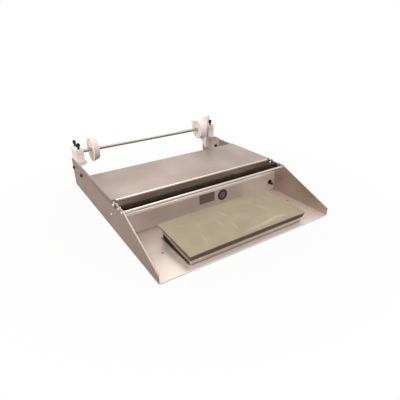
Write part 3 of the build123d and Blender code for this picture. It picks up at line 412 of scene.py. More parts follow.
@dataclass(frozen=True)
class MouldedPolymer:
    """Moulded or machined plastic and rubber.

    A faint mottle and pore-like relief keep the surface from looking like flat paint.
    """

    name: str
    tint: str
    shade: str
    roughness: float
    ior: float = 1.48
    specular: float = 0.5
    mottle_mm: float = 18.0       # size of the faint mottling
    pore_mm: float = 0.8          # grain left by the mould or the lathe
    relief: float = 0.1           # how strongly that grain shows

    def build(self) -> bpy.types.Material:
        """Makes the material."""
        material, tree = new_material(self.name)
        place_on = add_node(tree, "ShaderNodeTexCoord")
        mottle = add_node(tree, "ShaderNodeTexNoise",
                          values={"Scale": per_metre(self.mottle_mm), "Detail": 3.0},
                          links={"Vector": place_on.outputs["Object"]})
        pores = add_node(tree, "ShaderNodeTexNoise",
                         values={"Scale": per_metre(self.pore_mm), "Detail": 2.0},
                         links={"Vector": place_on.outputs["Object"]})
        colour = blend_tints(tree, mottle.outputs["Fac"], [(0.3, self.shade), (0.7, self.tint)])
        gloss = spread(tree, mottle.outputs["Fac"], self.roughness - 0.05, self.roughness + 0.05)
        relief = add_node(tree, "ShaderNodeBump",
                          values={"Strength": self.relief, "Distance": 0.0001},
                          links={"Height": pores.outputs["Fac"]})
        shader = add_node(tree, "ShaderNodeBsdfPrincipled",
                          values={"Metallic": 0.0, "IOR": self.ior,
                                  "Specular IOR Level": self.specular},
                          links={"Base Color": colour, "Roughness": gloss,
                                 "Normal": relief.outputs["Normal"]})
        add_node(tree, "ShaderNodeOutputMaterial", links={"Surface": shader.outputs["BSDF"]})
        return material


@dataclass(frozen=True)
class ReleaseCloth:
    """Coated glass cloth that film doesn't stick to.

    The coating fills the weave, so the cloth is smooth khaki with a slight waxy gloss and the
    threads only just show. Heat and use have left cloudy, slightly darker areas.
    """

    name: str
    tint: str
    shade: str
    thread_mm: float = 1.3        # real threads are about 0.4 mm apart, drawn coarser to show
    stain_mm: float = 55.0        # size of the cloudy areas
    crease_mm: float = 16.0       # spacing of the faint creases
    side_shade_tint: str = "#5f5240"    # painted shade on the sides of the cover, darker than the top
    fold_highlight_tint: str = "#dacfb9"    # painted highlight on the ridges of the folds

    def build(self) -> bpy.types.Material:
        """Makes the material."""
        material, tree = new_material(self.name)
        place_on = add_node(tree, "ShaderNodeTexCoord")
        threads = []
        for direction in ("X", "Y"):
            wave = add_node(tree, "ShaderNodeTexWave", bands_direction=direction,
                            values={"Scale": per_metre(self.thread_mm) / 20, "Distortion": 0.4,
                                    "Detail": 1.0},
                            links={"Vector": place_on.outputs["Object"]})
            threads.append(wave.outputs["Fac"])
        weave = add_node(tree, "ShaderNodeMath", operation="MAXIMUM",
                         links={0: threads[0], 1: threads[1]})
        clouds = add_node(tree, "ShaderNodeTexNoise",
                          values={"Scale": per_metre(self.stain_mm), "Detail": 4.0},
                          links={"Vector": place_on.outputs["Object"]})
        creases = add_node(tree, "ShaderNodeTexNoise", noise_type="RIDGED_MULTIFRACTAL",
                           values={"Scale": per_metre(self.crease_mm) / 4, "Detail": 3.0,
                                   "Distortion": 0.8},
                           links={"Vector": place_on.outputs["Object"]})
        colour = blend_tints(tree, clouds.outputs["Fac"], [(0.3, self.shade), (0.7, self.tint)])
        side_shade = add_node(tree, "ShaderNodeAttribute", attribute_name="side_shade")
        fold = add_node(tree, "ShaderNodeAttribute", attribute_name="fold")
        # painted highlight: the folds are mixed towards a pale tint by their height
        fold_highlight = add_node(tree, "ShaderNodeMix", data_type="RGBA",
                        values={7: linear(self.fold_highlight_tint)},
                        links={0: fold.outputs["Fac"], 6: colour})
        # painted shade: the sides below the pressed edge are mixed towards a dark tint
        cloth = add_node(tree, "ShaderNodeMix", data_type="RGBA",
                         values={7: linear(self.side_shade_tint)},
                         links={0: side_shade.outputs["Fac"], 6: fold_highlight.outputs[2]})
        gloss = spread(tree, clouds.outputs["Fac"], 0.5, 0.62)
        fine = add_node(tree, "ShaderNodeBump", values={"Strength": 0.12, "Distance": 0.0002},
                        links={"Height": weave.outputs["Value"]})
        relief = add_node(tree, "ShaderNodeBump", values={"Strength": 0.3, "Distance": 0.0014},
                          links={"Height": creases.outputs["Fac"],
                                 "Normal": fine.outputs["Normal"]})
        shader = add_node(tree, "ShaderNodeBsdfPrincipled",
                          values={"Metallic": 0.0, "IOR": 1.38, "Specular IOR Level": 0.35,
                                  "Sheen Weight": 0.12, "Sheen Roughness": 0.5},
                          links={"Base Color": cloth.outputs[2], "Roughness": gloss,
                                 "Normal": relief.outputs["Normal"]})
        add_node(tree, "ShaderNodeOutputMaterial", links={"Surface": shader.outputs["BSDF"]})
        return material


@dataclass(frozen=True)
class Finishes:
    """Every material of the machine, made once."""

    side_sheet: bpy.types.Material = field(default_factory=lambda: BrushedStainless(
        "brushed_stainless_sides", "#c9b7ad", "#b9a79d", Grain.REARWARD, 0.38,
        metallic=0.88).build())
    # painted light: tray, front panel and ears are the same stainless as the sides, painted lighter
    # to make up for the shade inside the machine
    tray_sheet: bpy.types.Material = field(default_factory=lambda: BrushedStainless(
        "brushed_stainless_tray_painted_lighter", "#f4ece5", "#eae0d8", Grain.ACROSS, 0.36,
        metallic=0.5).build())
    front_sheet: bpy.types.Material = field(default_factory=lambda: BrushedStainless(
        "brushed_stainless_front_painted_lighter", "#f3e7df", "#eadcd4", Grain.ACROSS, 0.32,
        metallic=0.3, bend_highlight="#fff6ef").build())
    lid_sheet: bpy.types.Material = field(default_factory=lambda: BrushedStainless(
        "satin_stainless_lid", "#bdaca3", "#a5948b", Grain.ACROSS, 0.3,
        bend_highlight="#f7ebe3").build())
    inner_sheet: bpy.types.Material = field(default_factory=lambda: BrushedStainless(
        "mill_stainless_inner", "#bfafa6", "#b0a097", Grain.ACROSS, 0.42).build())
    # painted light: the ears are painted lighter to make up for their shade
    ear_sheet: bpy.types.Material = field(default_factory=lambda: BrushedStainless(
        "brushed_stainless_ears_painted_lighter", "#eaddd5", "#dccfc7", Grain.REARWARD, 0.4,
        metallic=0.5).build())
    polished: bpy.types.Material = field(default_factory=lambda: MachinedMetal(
        "polished_steel", "#d9cdc5", 0.12).build())
    ground: bpy.types.Material = field(default_factory=lambda: MachinedMetal(
        "ground_shaft_steel", "#c2b6ae", 0.22).build())
    zinc: bpy.types.Material = field(default_factory=lambda: MachinedMetal(
        "bright_zinc_plate", "#e3d8d0", 0.3).build())
    blackened: bpy.types.Material = field(default_factory=lambda: MachinedMetal(
        "black_oxide_steel", "#2a2422", 0.42, 0.6).build())
    plate_metal: bpy.types.Material = field(default_factory=lambda: BrushedStainless(
        "satin_aluminium_plate", "#ddd3cb", "#cfc4bc", Grain.ACROSS, 0.3).build())
    acetal: bpy.types.Material = field(default_factory=lambda: MouldedPolymer(
        "white_acetal", "#fbf5f1", "#f5eeea", 0.42,
        relief=0.03).build())
    insulator: bpy.types.Material = field(default_factory=lambda: MouldedPolymer(
        "white_ceramic_bush", "#e2d8d0", "#d5c9c0", 0.55, 1.5).build())
    nylon: bpy.types.Material = field(default_factory=lambda: MouldedPolymer(
        "black_nylon", "#1b1614", "#120e0d", 0.4, 1.53).build())
    roller: bpy.types.Material = field(default_factory=lambda: MouldedPolymer(
        "dark_roller_sleeve", "#3b312c", "#2c2522", 0.75, 1.5, 0.02).build())
    rubber: bpy.types.Material = field(default_factory=lambda: MouldedPolymer(
        "black_rubber", "#1c1918", "#131111", 0.62, 1.52, 0.35).build())
    phenolic: bpy.types.Material = field(default_factory=lambda: MouldedPolymer(
        "dark_phenolic_case", "#2b2624", "#211c1b", 0.48, 1.55).build())
    terminal: bpy.types.Material = field(default_factory=lambda: MouldedPolymer(
        "cream_terminal_plastic", "#d8cfba", "#cbc1ab", 0.5).build())
    silicone: bpy.types.Material = field(default_factory=lambda: MouldedPolymer(
        "orange_silicone_mat", "#a8502c", "#944425", 0.6, 1.43, 0.35).build())
    cloth: bpy.types.Material = field(default_factory=lambda: ReleaseCloth(
        "khaki_release_cloth", "#afa38d", "#a09580").build())
    thread: bpy.types.Material = field(default_factory=lambda: MouldedPolymer(
        "khaki_sewing_thread", "#9c8d76", "#8a7c67", 0.7, 1.45, 0.2).build())
    label: bpy.types.Material = field(default_factory=lambda: BrushedStainless(
        "grey_label_plate", "#a4968f", "#92857e", Grain.ACROSS, 0.5,
        metallic=0.7).build())
    ring_vinyl: bpy.types.Material = field(default_factory=lambda: MouldedPolymer(
        "indigo_vinyl", "#453a63", "#3b3157", 0.5, 1.5, 0.35).build())
    disc_vinyl: bpy.types.Material = field(default_factory=lambda: MouldedPolymer(
        "muted_rose_vinyl", "#96716e", "#8a6663", 0.5, 1.5, 0.35).build())


# Sub-assemblies, from the sheet body to the studio

@dataclass
class Dressing:
    """Puts finishes on the CAD nodes that show as they are."""

    finishes: Finishes

    def nodes_by_finish(self) -> dict[bpy.types.Material, list[str]]:
        """Lists which nodes take which finish.

        Returns:
            Material to node names.
        """
        f = self.finishes
        return {
            f.side_sheet: ["side_panel_left", "side_panel_right"],
            f.tray_sheet: ["tray_floor"],
            f.front_sheet: ["front_panel"],
            f.lid_sheet: ["deck_lid"],
            f.inner_sheet: ["cross_brace", "rear_channel", "hot_plate_base", "wiring_housing"],
            f.ear_sheet: ["ear_bracket_left", "ear_bracket_right"],
            f.polished: ["pivot_screws", "pivot_acorn_nuts", "roller_axle", "cutoff_rod",
                         "cover_snaps"],
            f.ground: ["roll_shaft"],
            f.zinc: ["axle_screws", "brace_screws", "ear_rivets", "cone_set_screw",
                     "plate_screws", "switch_nut", "wire_conduit", "foot_screws"],
            f.blackened: ["rod_screws", "ear_bolts", "ear_nuts", "block_screws", "tray_screws"],
            f.plate_metal: ["hot_plate"],
            f.acetal: ["roller_bushes", "bearing_base_left", "bearing_base_right",
                       "bearing_cap_left", "bearing_cap_right", "core_cone_left",
                       "core_cone_right", "wing_nut"],
            f.insulator: ["rod_insulators"],
            f.nylon: ["pivot_washers", "plate_thermostat", "switch_lever", "cord_gland",
                      "thumb_screw_left_front", "thumb_screw_left_rear",
                      "thumb_screw_right_front", "thumb_screw_right_rear"],
            f.roller: ["guide_roller"],
            f.rubber: ["switch_boot", "conduit_grommet", "rubber_feet"],
            f.phenolic: ["switch_case"],
            f.terminal: ["terminal_block"],
            f.silicone: ["heater_mat"],
        }

    def build(self) -> None:
        """Dresses every listed node."""
        for material, names in self.nodes_by_finish().items():
            for name in names:
                if name in NODES:
                    dress(NODES[name], material)
            log.info("%s on %s", material.name, ", ".join(names))


class Facing(Enum):
    """Which way a screw's head looks."""

    LEFT = (-1, 0, 0)
    RIGHT = (1, 0, 0)

    def turn(self) -> Matrix:
        """Rotation that takes +Z to this direction."""
        return Vector((0, 0, 1)).rotation_difference(Vector(self.value)).to_matrix().to_4x4()


@dataclass
class PanHeadPair:
    """A pair of domed screws with cross recesses on the two side panels, in millimetres."""

    node: str
    body: str
    head_radius: float
    head_height: float
    recess_reach: float = 0.58    # recess arm as a share of the head's radius
    recess_width: float = 0.9
    recess_depth: float = 1.1

    def head(self, shape: bmesh.types.BMesh, turn: Matrix) -> None:
        """Adds one domed head."""
        r, h = self.head_radius, self.head_height
        dome = [(r * cos(pi / 2 * k / 6) ** 0.6, 0.35 * h + 0.65 * h * sin(pi / 2 * k / 6))
                for k in range(6)]
        lathe(shape, [(r, 0.0), *dome, (0, h)], turn)

    def recess(self, shape: bmesh.types.BMesh, turn: Matrix) -> None:
        """Adds the two crossed bars that are cut out of a head."""
        reach = self.head_radius * self.recess_reach
        for bar in ((reach, self.recess_width / 2), (self.recess_width / 2, reach)):
            size = Matrix.Diagonal((2 * bar[0] * MM, 2 * bar[1] * MM,
                                    2 * self.recess_depth * MM, 1))
            top = Matrix.Translation((0, 0, self.head_height * MM))
            bmesh.ops.create_cube(shape, size=1.0, matrix=turn @ top @ size)

    def build(self, material: bpy.types.Material, slot: str) -> None:
        """Makes both screws in place of the CAD node.

        Args:
            material: Their material.
            slot: The record's material slot.
        """
        low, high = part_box(self.node)
        heads = bmesh.new()
        bars = bmesh.new()
        middle_y, middle_z = (low.y + high.y) / 2, (low.z + high.z) / 2
        for facing, face_x in ((Facing.LEFT, low.x), (Facing.RIGHT, high.x)):
            seat_x = face_x - facing.value[0] * self.head_height * MM
            turn = Matrix.Translation((seat_x, middle_y, middle_z)) @ facing.turn()
            self.head(heads, turn)
            self.recess(bars, turn)
        piece = mesh_piece(f"{self.node}_heads", heads)
        cutter = mesh_piece(f"{self.node}_recess", bars, smooth=False)
        knife = piece.modifiers.new("recess", "BOOLEAN")
        knife.operation = "DIFFERENCE"
        knife.object = cutter
        knife.use_self = True
        bake_modifiers(piece)
        bpy.data.objects.remove(cutter)
        place(piece, self.body, slot, material, [self.node])


@dataclass
class FrontPanelDress:
    """Blank label plate and plain round sticker on the front panel, in millimetres."""

    finishes: Finishes
    label_x: tuple[float, float] = (-27.0, 28.0)
    label_z: tuple[float, float] = (38.0, 69.0)
    label_thickness: float = 0.8
    label_round: float = 1.5
    label_border: float = 2.0
    label_sink: float = 0.3       # field inside the border lies this much lower
    sticker_x: float = 58.8
    sticker_z: float = 49.0
    sticker_radius: float = 18.0
    disc_radius: float = 10.6
    sticker_thickness: float = 0.25

    def face_y(self) -> float:
        """Front panel's face, in metres."""
        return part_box("front_panel")[0].y

    def label(self) -> None:
        """Makes the label plate: a thin plate with a raised border and a bare field."""
        half_x = (self.label_x[1] - self.label_x[0]) / 2
        half_z = (self.label_z[1] - self.label_z[0]) / 2
        centre = ((self.label_x[0] + self.label_x[1]) / 2, (self.label_z[0] + self.label_z[1]) / 2)
        steps = [
            (0.0, 0.0),
            (0.0, self.label_thickness - 0.2),
            (0.2, self.label_thickness),
            (self.label_border, self.label_thickness),
            (self.label_border + self.label_sink, self.label_thickness - self.label_sink),
        ]
        shape = bmesh.new()
        rings = []
        for inset, out in steps:
            loop = rounded_loop(half_x - inset, half_z - inset,
                                max(self.label_round - inset, 0.4), 60.0)
            rings.append([shape.verts.new(((centre[0] + x) * MM, self.face_y() - out * MM,
                                           (centre[1] + z) * MM)) for x, z in loop])
        stitch_rings(shape, rings)
        shape.faces.new(rings[-1])
        shape.faces.new(rings[0])
        place(mesh_piece("label_plate", shape, smooth=False), "machine_frame",
              "plate_aluminium", self.finishes.label)

    def sticker(self) -> None:
        """Makes the round sticker: a ring and a disc inside it."""
        turn = (Matrix.Translation((self.sticker_x * MM, self.face_y(), self.sticker_z * MM))
                @ Matrix.Rotation(pi / 2, 4, "X"))
        ring = bmesh.new()
        lathe(ring, [(self.sticker_radius, 0.0), (self.sticker_radius, self.sticker_thickness),
                     (0, self.sticker_thickness)], turn, 64)
        place(mesh_piece("sticker_ring", ring, smooth=False), "machine_frame",
              "switch_plastic", self.finishes.ring_vinyl)
        disc = bmesh.new()
        rise = Matrix.Translation((0, -self.sticker_thickness * MM, 0))
        lathe(disc, [(self.disc_radius, 0.0), (self.disc_radius, self.sticker_thickness / 2),
                     (0, self.sticker_thickness / 2)], rise @ turn, 64)
        place(mesh_piece("sticker_disc", disc, smooth=False), "machine_frame",
              "switch_plastic", self.finishes.disc_vinyl)

    def build(self) -> None:
        """Makes both."""
        self.label()
        self.sticker()


def stitch_rings(shape: bmesh.types.BMesh, rings: Sequence[Sequence[bmesh.types.BMVert]]) -> None:
    """Joins rings of equally many points by bands of faces."""
    for low, high in zip(rings, rings[1:]):
        count = len(low)
        for i in range(count):
            j = (i + 1) % count
            shape.faces.new((low[i], low[j], high[j], high[i]))


@dataclass(frozen=True)
class Crease:
    """A soft fold in the cloth between two points of the plate, in millimetres."""

    start: tuple[float, float]
    end: tuple[float, float]
    height: float
    width: float

    def lift(self, x: float, y: float) -> float:
        """Height of the fold at a point of the plate."""
        run = (self.end[0] - self.start[0], self.end[1] - self.start[1])
        length = hypot(*run)
        along = ((x - self.start[0]) * run[0] + (y - self.start[1]) * run[1]) / length ** 2
        inside = min(max(along, 0.0), 1.0)
        beside = hypot(x - self.start[0] - inside * run[0], y - self.start[1] - inside * run[1])
        fade = sin(pi * min(max(along * 0.9 + 0.05, 0.0), 1.0))
        return self.height * fade * exp(-(beside / self.width) ** 2)


@dataclass
class PaddedCover:
    """Padded cloth cover of the hot plate, blown up by cloth simulation, in millimetres."""

    finishes: Finishes
    width: float = 372.0
    depth: float = 148.0
    rim: float = 12.0
    tilt_degrees: float = 5.5
    cells: tuple[int, int] = (66, 28)
    edge_level: float = 14.0      # pressed edge above the plate's face
    corner_out: tuple[tuple[float, float], ...] = (
        (2.8, 3.4), (11.3, 3.8), (10.9, 9.5), (7.2, 12.4))
    crown: float = 0.9            # rise of the top before it swells
    crown_reach: float = 8.0      # distance from the edge over which it rises
    under_shoulder: float = 12.8
    hem_overhang: float = 1.2
    hem_level: float = -0.2
    hem_width: float = 5.0
    hem_thickness: float = 0.45
    pull_in: float = 0.8          # how far the long sides pull in between the corners
    flare: float = 1.0            # how far the tips of the corners stand out
    flare_reach: float = 9.0
    swell_limit: float = 1.4      # farthest that a point may move
    fold_highlight_height: float = 4.4      # a fold this high gets the full painted highlight
    pressure: float = 4.0
    frames: int = 20
    creases: tuple[Crease, ...] = (
        Crease((-8.0, 9.0), (70.0, 13.0), 1.7, 4.4),
        Crease((50.0, 11.0), (108.0, 20.0), 2.4, 5.0),
        Crease((96.0, 20.0), (146.0, 13.0), 1.9, 4.4),
        Crease((-25.0, 130.0), (-6.0, 80.0), 1.2, 3.0),
        Crease((-48.0, 90.0), (-50.0, 48.0), 1.2, 3.0),
        Crease((-17.0, 66.0), (-25.0, 22.0), 1.1, 3.0),
        Crease((-102.0, 108.0), (-107.0, 80.0), 0.9, 2.4),
        Crease((-119.0, 54.0), (-126.0, 12.0), 1.0, 2.4),
        Crease((92.0, 100.0), (112.0, 56.0), 1.1, 3.4),
        Crease((-160.0, 126.0), (-140.0, 104.0), 0.8, 2.4),
        Crease((140.0, 128.0), (162.0, 96.0), 0.8, 2.4),
    )

    def frame(self) -> Matrix:
        """Places the plate's own frame: X across, Y up the slope, Z off the plate's face."""
        low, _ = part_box("hot_plate")
        tilt = radians(self.tilt_degrees)
        front = low.y + self.rim * MM * sin(tilt)
        return (Matrix.Translation((0, front, low.z)) @ Matrix.Rotation(tilt, 4, "X")
                @ Matrix.Translation((0, 0, self.rim * MM)))

    def at(self, i: int, j: int, share: float, out: float = 0.0) -> tuple[float, float]:
        """Place of a grid point, between the hem's line and the pressed edge's line.

        Args:
            i: Column of the grid.
            j: Row of the grid.
            share: 0 on the hem's line and 1 on the pressed edge's line.
            out: Extra distance outward.

        Returns:
            The point on the plate, in millimetres.
        """
        across, deep = self.cells
        u, v = i / across, j / deep
        reach = [[self.hem_overhang + share * (far - self.hem_overhang) + out for far in corner]
                 for corner in self.corner_out]
        front_left, front_right, rear_left, rear_right = reach
        left = (1 - v) * front_left[0] + v * rear_left[0] + self.width / 2
        right = (1 - v) * front_right[0] + v * rear_right[0] + self.width / 2
        near = (1 - u) * front_left[1] + u * front_right[1]
        far = (1 - u) * rear_left[1] + u * rear_right[1] + self.depth
        corner = hypot(min(u, 1 - u) * self.width, min(v, 1 - v) * self.depth)
        inward = self.flare * share * (1 - exp(-corner / self.flare_reach))
        bow = self.pull_in * share * sin(pi * u)
        x = u * right - (1 - u) * left - inward * (2 * u - 1)
        y = v * far - (1 - v) * near - (inward + bow) * (2 * v - 1)
        return x, y

    def border(self) -> list[tuple[int, int]]:
        """Grid points round the edge, in order."""
        across, deep = self.cells
        return ([(i, 0) for i in range(across)] + [(across, j) for j in range(deep)]
                + [(i, deep) for i in range(across, 0, -1)] + [(0, j) for j in range(deep, 0, -1)])

    def wall_share(self, level: float) -> float:
        """Where the leaning side wall is at a level, from 0 at the hem to 1 under the edge."""
        return (level - self.hem_level) / (self.under_shoulder - self.hem_level)

    def ring(self, share: float, level: float, out: float = 0.0) -> list[Vector]:
        """Points round the cover at one level."""
        places = [self.at(i, j, share, out) for i, j in self.border()]
        return [Vector((x * MM, y * MM, level * MM)) for x, y in places]

    def patch(self, shape: bmesh.types.BMesh, level: Callable[[float], float], share: float,
              out: float, edge: Sequence[bmesh.types.BMVert]) -> None:
        """Fills a ring with a grid of faces.

        Args:
            shape: The mesh.
            level: Height as a function of the distance from the edge.
            share: The ring's line, from the hem's to the pressed edge's.
            out: The ring's extra distance outward.
            edge: The ring's points.
        """
        across, deep = self.cells
        grid = dict(zip(self.border(), edge))
        for i in range(1, across):
            for j in range(1, deep):
                x, y = self.at(i, j, share, out)
                inside = min(min(i, across - i) / across * self.width,
                             min(j, deep - j) / deep * self.depth)
                grid[i, j] = shape.verts.new((x * MM, y * MM, level(inside) * MM))
        for i in range(across):
            for j in range(deep):
                shape.faces.new((grid[i, j], grid[i + 1, j], grid[i + 1, j + 1], grid[i, j + 1]))

    def start_shape(self) -> bpy.types.Object:
        """Makes the closed form before it swells: top, leaning sides and flat underside."""
        high = self.edge_level
        levels = [(self.wall_share(z), z, 0.0) for z in (self.under_shoulder, 8.5, 4.5, 1.0)]
        rings_at = [(1.0, high + 0.5, -0.5), (1.0, high - 0.1, 0.0), *levels,
                    (0.0, self.hem_level, 0.0), (0.0, self.hem_level, -0.7), (0.0, 0.15, -0.7)]
        shape = bmesh.new()
        rings = [[shape.verts.new(p) for p in self.ring(*place_at)] for place_at in rings_at]
        stitch_rings(shape, rings)
        self.patch(shape, lambda inside: high + 0.5 + self.crown
                   * (1 - exp(-inside / self.crown_reach)), 1.0, -0.5, rings[0])
        self.patch(shape, lambda inside: 0.15, 0.0, -0.7, rings[-1])
        return mesh_piece("release_cloth_cover", shape)

    def swell(self, piece: bpy.types.Object) -> None:
        """Blows the form up with cloth pressure and caps how far each point moves.

        Args:
            piece: The closed form, in the plate's frame.
        """
        rest = [v.co.copy() for v in piece.data.vertices]
        held = piece.vertex_groups.new(name="held")
        held.add([i for i, co in enumerate(rest) if co.z < 1.0 * MM], 1.0, "REPLACE")
        held.add([i for i, co in enumerate(rest)
                  if 1.0 * MM <= co.z < (self.edge_level + 0.6) * MM], 0.85, "REPLACE")
        cloth = piece.modifiers.new("swell", "CLOTH")
        cloth.settings.quality = 6
        cloth.settings.use_pressure = True
        cloth.settings.uniform_pressure_force = self.pressure
        cloth.settings.effector_weights.gravity = 0.0
        cloth.settings.vertex_group_mass = "held"
        cloth.settings.tension_stiffness = 25.0
        cloth.settings.compression_stiffness = 25.0
        cloth.settings.bending_stiffness = 1.5
        cloth.collision_settings.use_collision = False
        scene = bpy.context.scene
        for number in range(1, self.frames + 1):
            scene.frame_set(number)
        graph = bpy.context.evaluated_depsgraph_get()
        blown = [v.co.copy() for v in piece.evaluated_get(graph).data.vertices]
        piece.modifiers.clear()
        scene.frame_set(1)
        limit = self.swell_limit * MM
        for vertex, before, after in zip(piece.data.vertices, rest, blown):
            move = after - before
            if move.length > limit:
                move *= limit / move.length
            vertex.co = before + move

    def sharpen_shoulder(self, piece: bpy.types.Object) -> None:
        """Keeps the pressed edge of the cloth fairly sharp when the mesh is subdivided."""
        crease = piece.data.attributes.new("crease_edge", "FLOAT", "EDGE")
        high = self.edge_level
        for edge in piece.data.edges:
            ends = [piece.data.vertices[i].co / MM for i in edge.vertices]
            level = [co.z for co in ends]
            if max(level) < high + 1.0 and min(level) > high - 0.7:
                crease.data[edge.index].value = 0.55
            elif max(level) < self.hem_level + 0.2:
                crease.data[edge.index].value = 0.8

    def mark_side_shade(self, piece: bpy.types.Object) -> None:
        """Notes how far each point lies below the pressed edge, for the painted shade on the sides.
        """
        share = piece.data.attributes.new("side_shade", "FLOAT", "POINT")
        top = self.edge_level - 0.4
        for vertex in piece.data.vertices:
            below = (top - vertex.co.z / MM) / 1.2
            share.data[vertex.index].value = min(max(below, 0.0), 1.0)

    def crumple(self, piece: bpy.types.Object) -> None:
        """Adds the folds on top and the gathers round the sides."""
        self.sharpen_shoulder(piece)
        smooth = piece.modifiers.new("smooth", "SUBSURF")
        smooth.levels = 1
        smooth.render_levels = 1
        bake_modifiers(piece)
        self.mark_side_shade(piece)
        half = self.width / 2
        high = self.edge_level
        fold_highlight = piece.data.attributes.new("fold", "FLOAT", "POINT")
        for vertex in piece.data.vertices:
            x, y, z = (c / MM for c in vertex.co)
            if z > high:
                inside = min(half + 4.0 - abs(x), y + 2.0, self.depth + 8.0 - y)
                on_top = min(max(inside / 6.0, 0.0), 1.0)
                lift = sum(crease.lift(x, y) for crease in self.creases)
                # painted highlight: the higher a fold, the paler its tint
                fold_highlight.data[vertex.index].value = min(lift / self.fold_highlight_height, 1.0)
                hills = (0.22 * sin(x / 23.0 + 1.3) * sin(y / 17.0)
                         + 0.14 * sin(x / 9.0 + y / 13.0))
                vertex.co.z += (lift + hills) * on_top * MM
                continue
            beside = sin(pi * min(max((z - self.hem_width) / (high - self.hem_width), 0.0), 1.0))
            if y < 0 or y > self.depth:
                gather = 0.5 * sin(x / 6.3) + 0.35 * sin(x / 2.9 + 0.7) + 0.4 * sin(x / 19.0)
                vertex.co.y += gather * beside * (0.55 if y < 0 else -0.55) * MM
            if abs(x) > half:
                gather = 0.5 * sin(y / 5.1 + 0.4) + 0.4 * sin(y / 2.6)
                vertex.co.x += gather * beside * (0.55 if x < 0 else -0.55) * MM

    def hem(self) -> bpy.types.Object:
        """Makes the folded hem, a band of doubled cloth sewn round the lower edge."""
        top = self.hem_level + self.hem_width
        high = self.wall_share(top)
        thick = self.hem_thickness
        section = [(0.0, self.hem_level + 0.2, -0.3), (0.0, self.hem_level - 0.1, thick - 0.15),
                   (0.0, self.hem_level + 0.3, thick), (high, top - 0.2, thick),
                   (high, top, thick - 0.2), (high, top, -0.3)]
        shape = bmesh.new()
        rings = [[shape.verts.new(p) for p in self.ring(*place_at)] for place_at in section]
        stitch_rings(shape, [*rings, rings[0]])
        band = mesh_piece("cover_hem", shape)
        self.mark_side_shade(band)
        return band

    def stitches(self) -> bpy.types.Object:
        """Makes the row of stitches along the top of the hem."""
        stitch_length, stitch_gap, radius = 3.2, 2.0, 0.28
        level = self.hem_level + self.hem_width - 1.0
        line = self.ring(self.wall_share(level), level, self.hem_thickness)
        shape = bmesh.new()
        travelled = 0.0
        pitch = stitch_length + stitch_gap
        for a, b in zip(line, [*line[1:], line[0]]):
            run = b - a
            steps = int((travelled + run.length / MM) // pitch) - int(travelled // pitch)
            if steps:
                turn = (Matrix.Translation((a + b) / 2)
                        @ run.to_track_quat("Z", "Y").to_matrix().to_4x4())
                lathe(shape, [(0, -stitch_length / 2), (radius, -stitch_length * 0.35),
                              (radius, stitch_length * 0.35), (0, stitch_length / 2)], turn, 6)
            travelled += run.length / MM
        return mesh_piece("cover_stitches", shape)

    def build(self) -> None:
        """Makes the cover, its hem and its stitches on the plate."""
        cover = self.start_shape()
        self.swell(cover)
        self.crumple(cover)
        hem = self.hem()
        stitches = self.stitches()
        for piece in (cover, hem, stitches):
            piece.data.transform(self.frame())
            for face in piece.data.polygons:
                face.use_smooth = True
        place(cover, "machine_frame", "release_cloth", self.finishes.cloth, ["hot_plate_cover"])
        place(hem, "machine_frame", "release_cloth", self.finishes.cloth)
        place(stitches, "machine_frame", "release_cloth", self.finishes.thread)


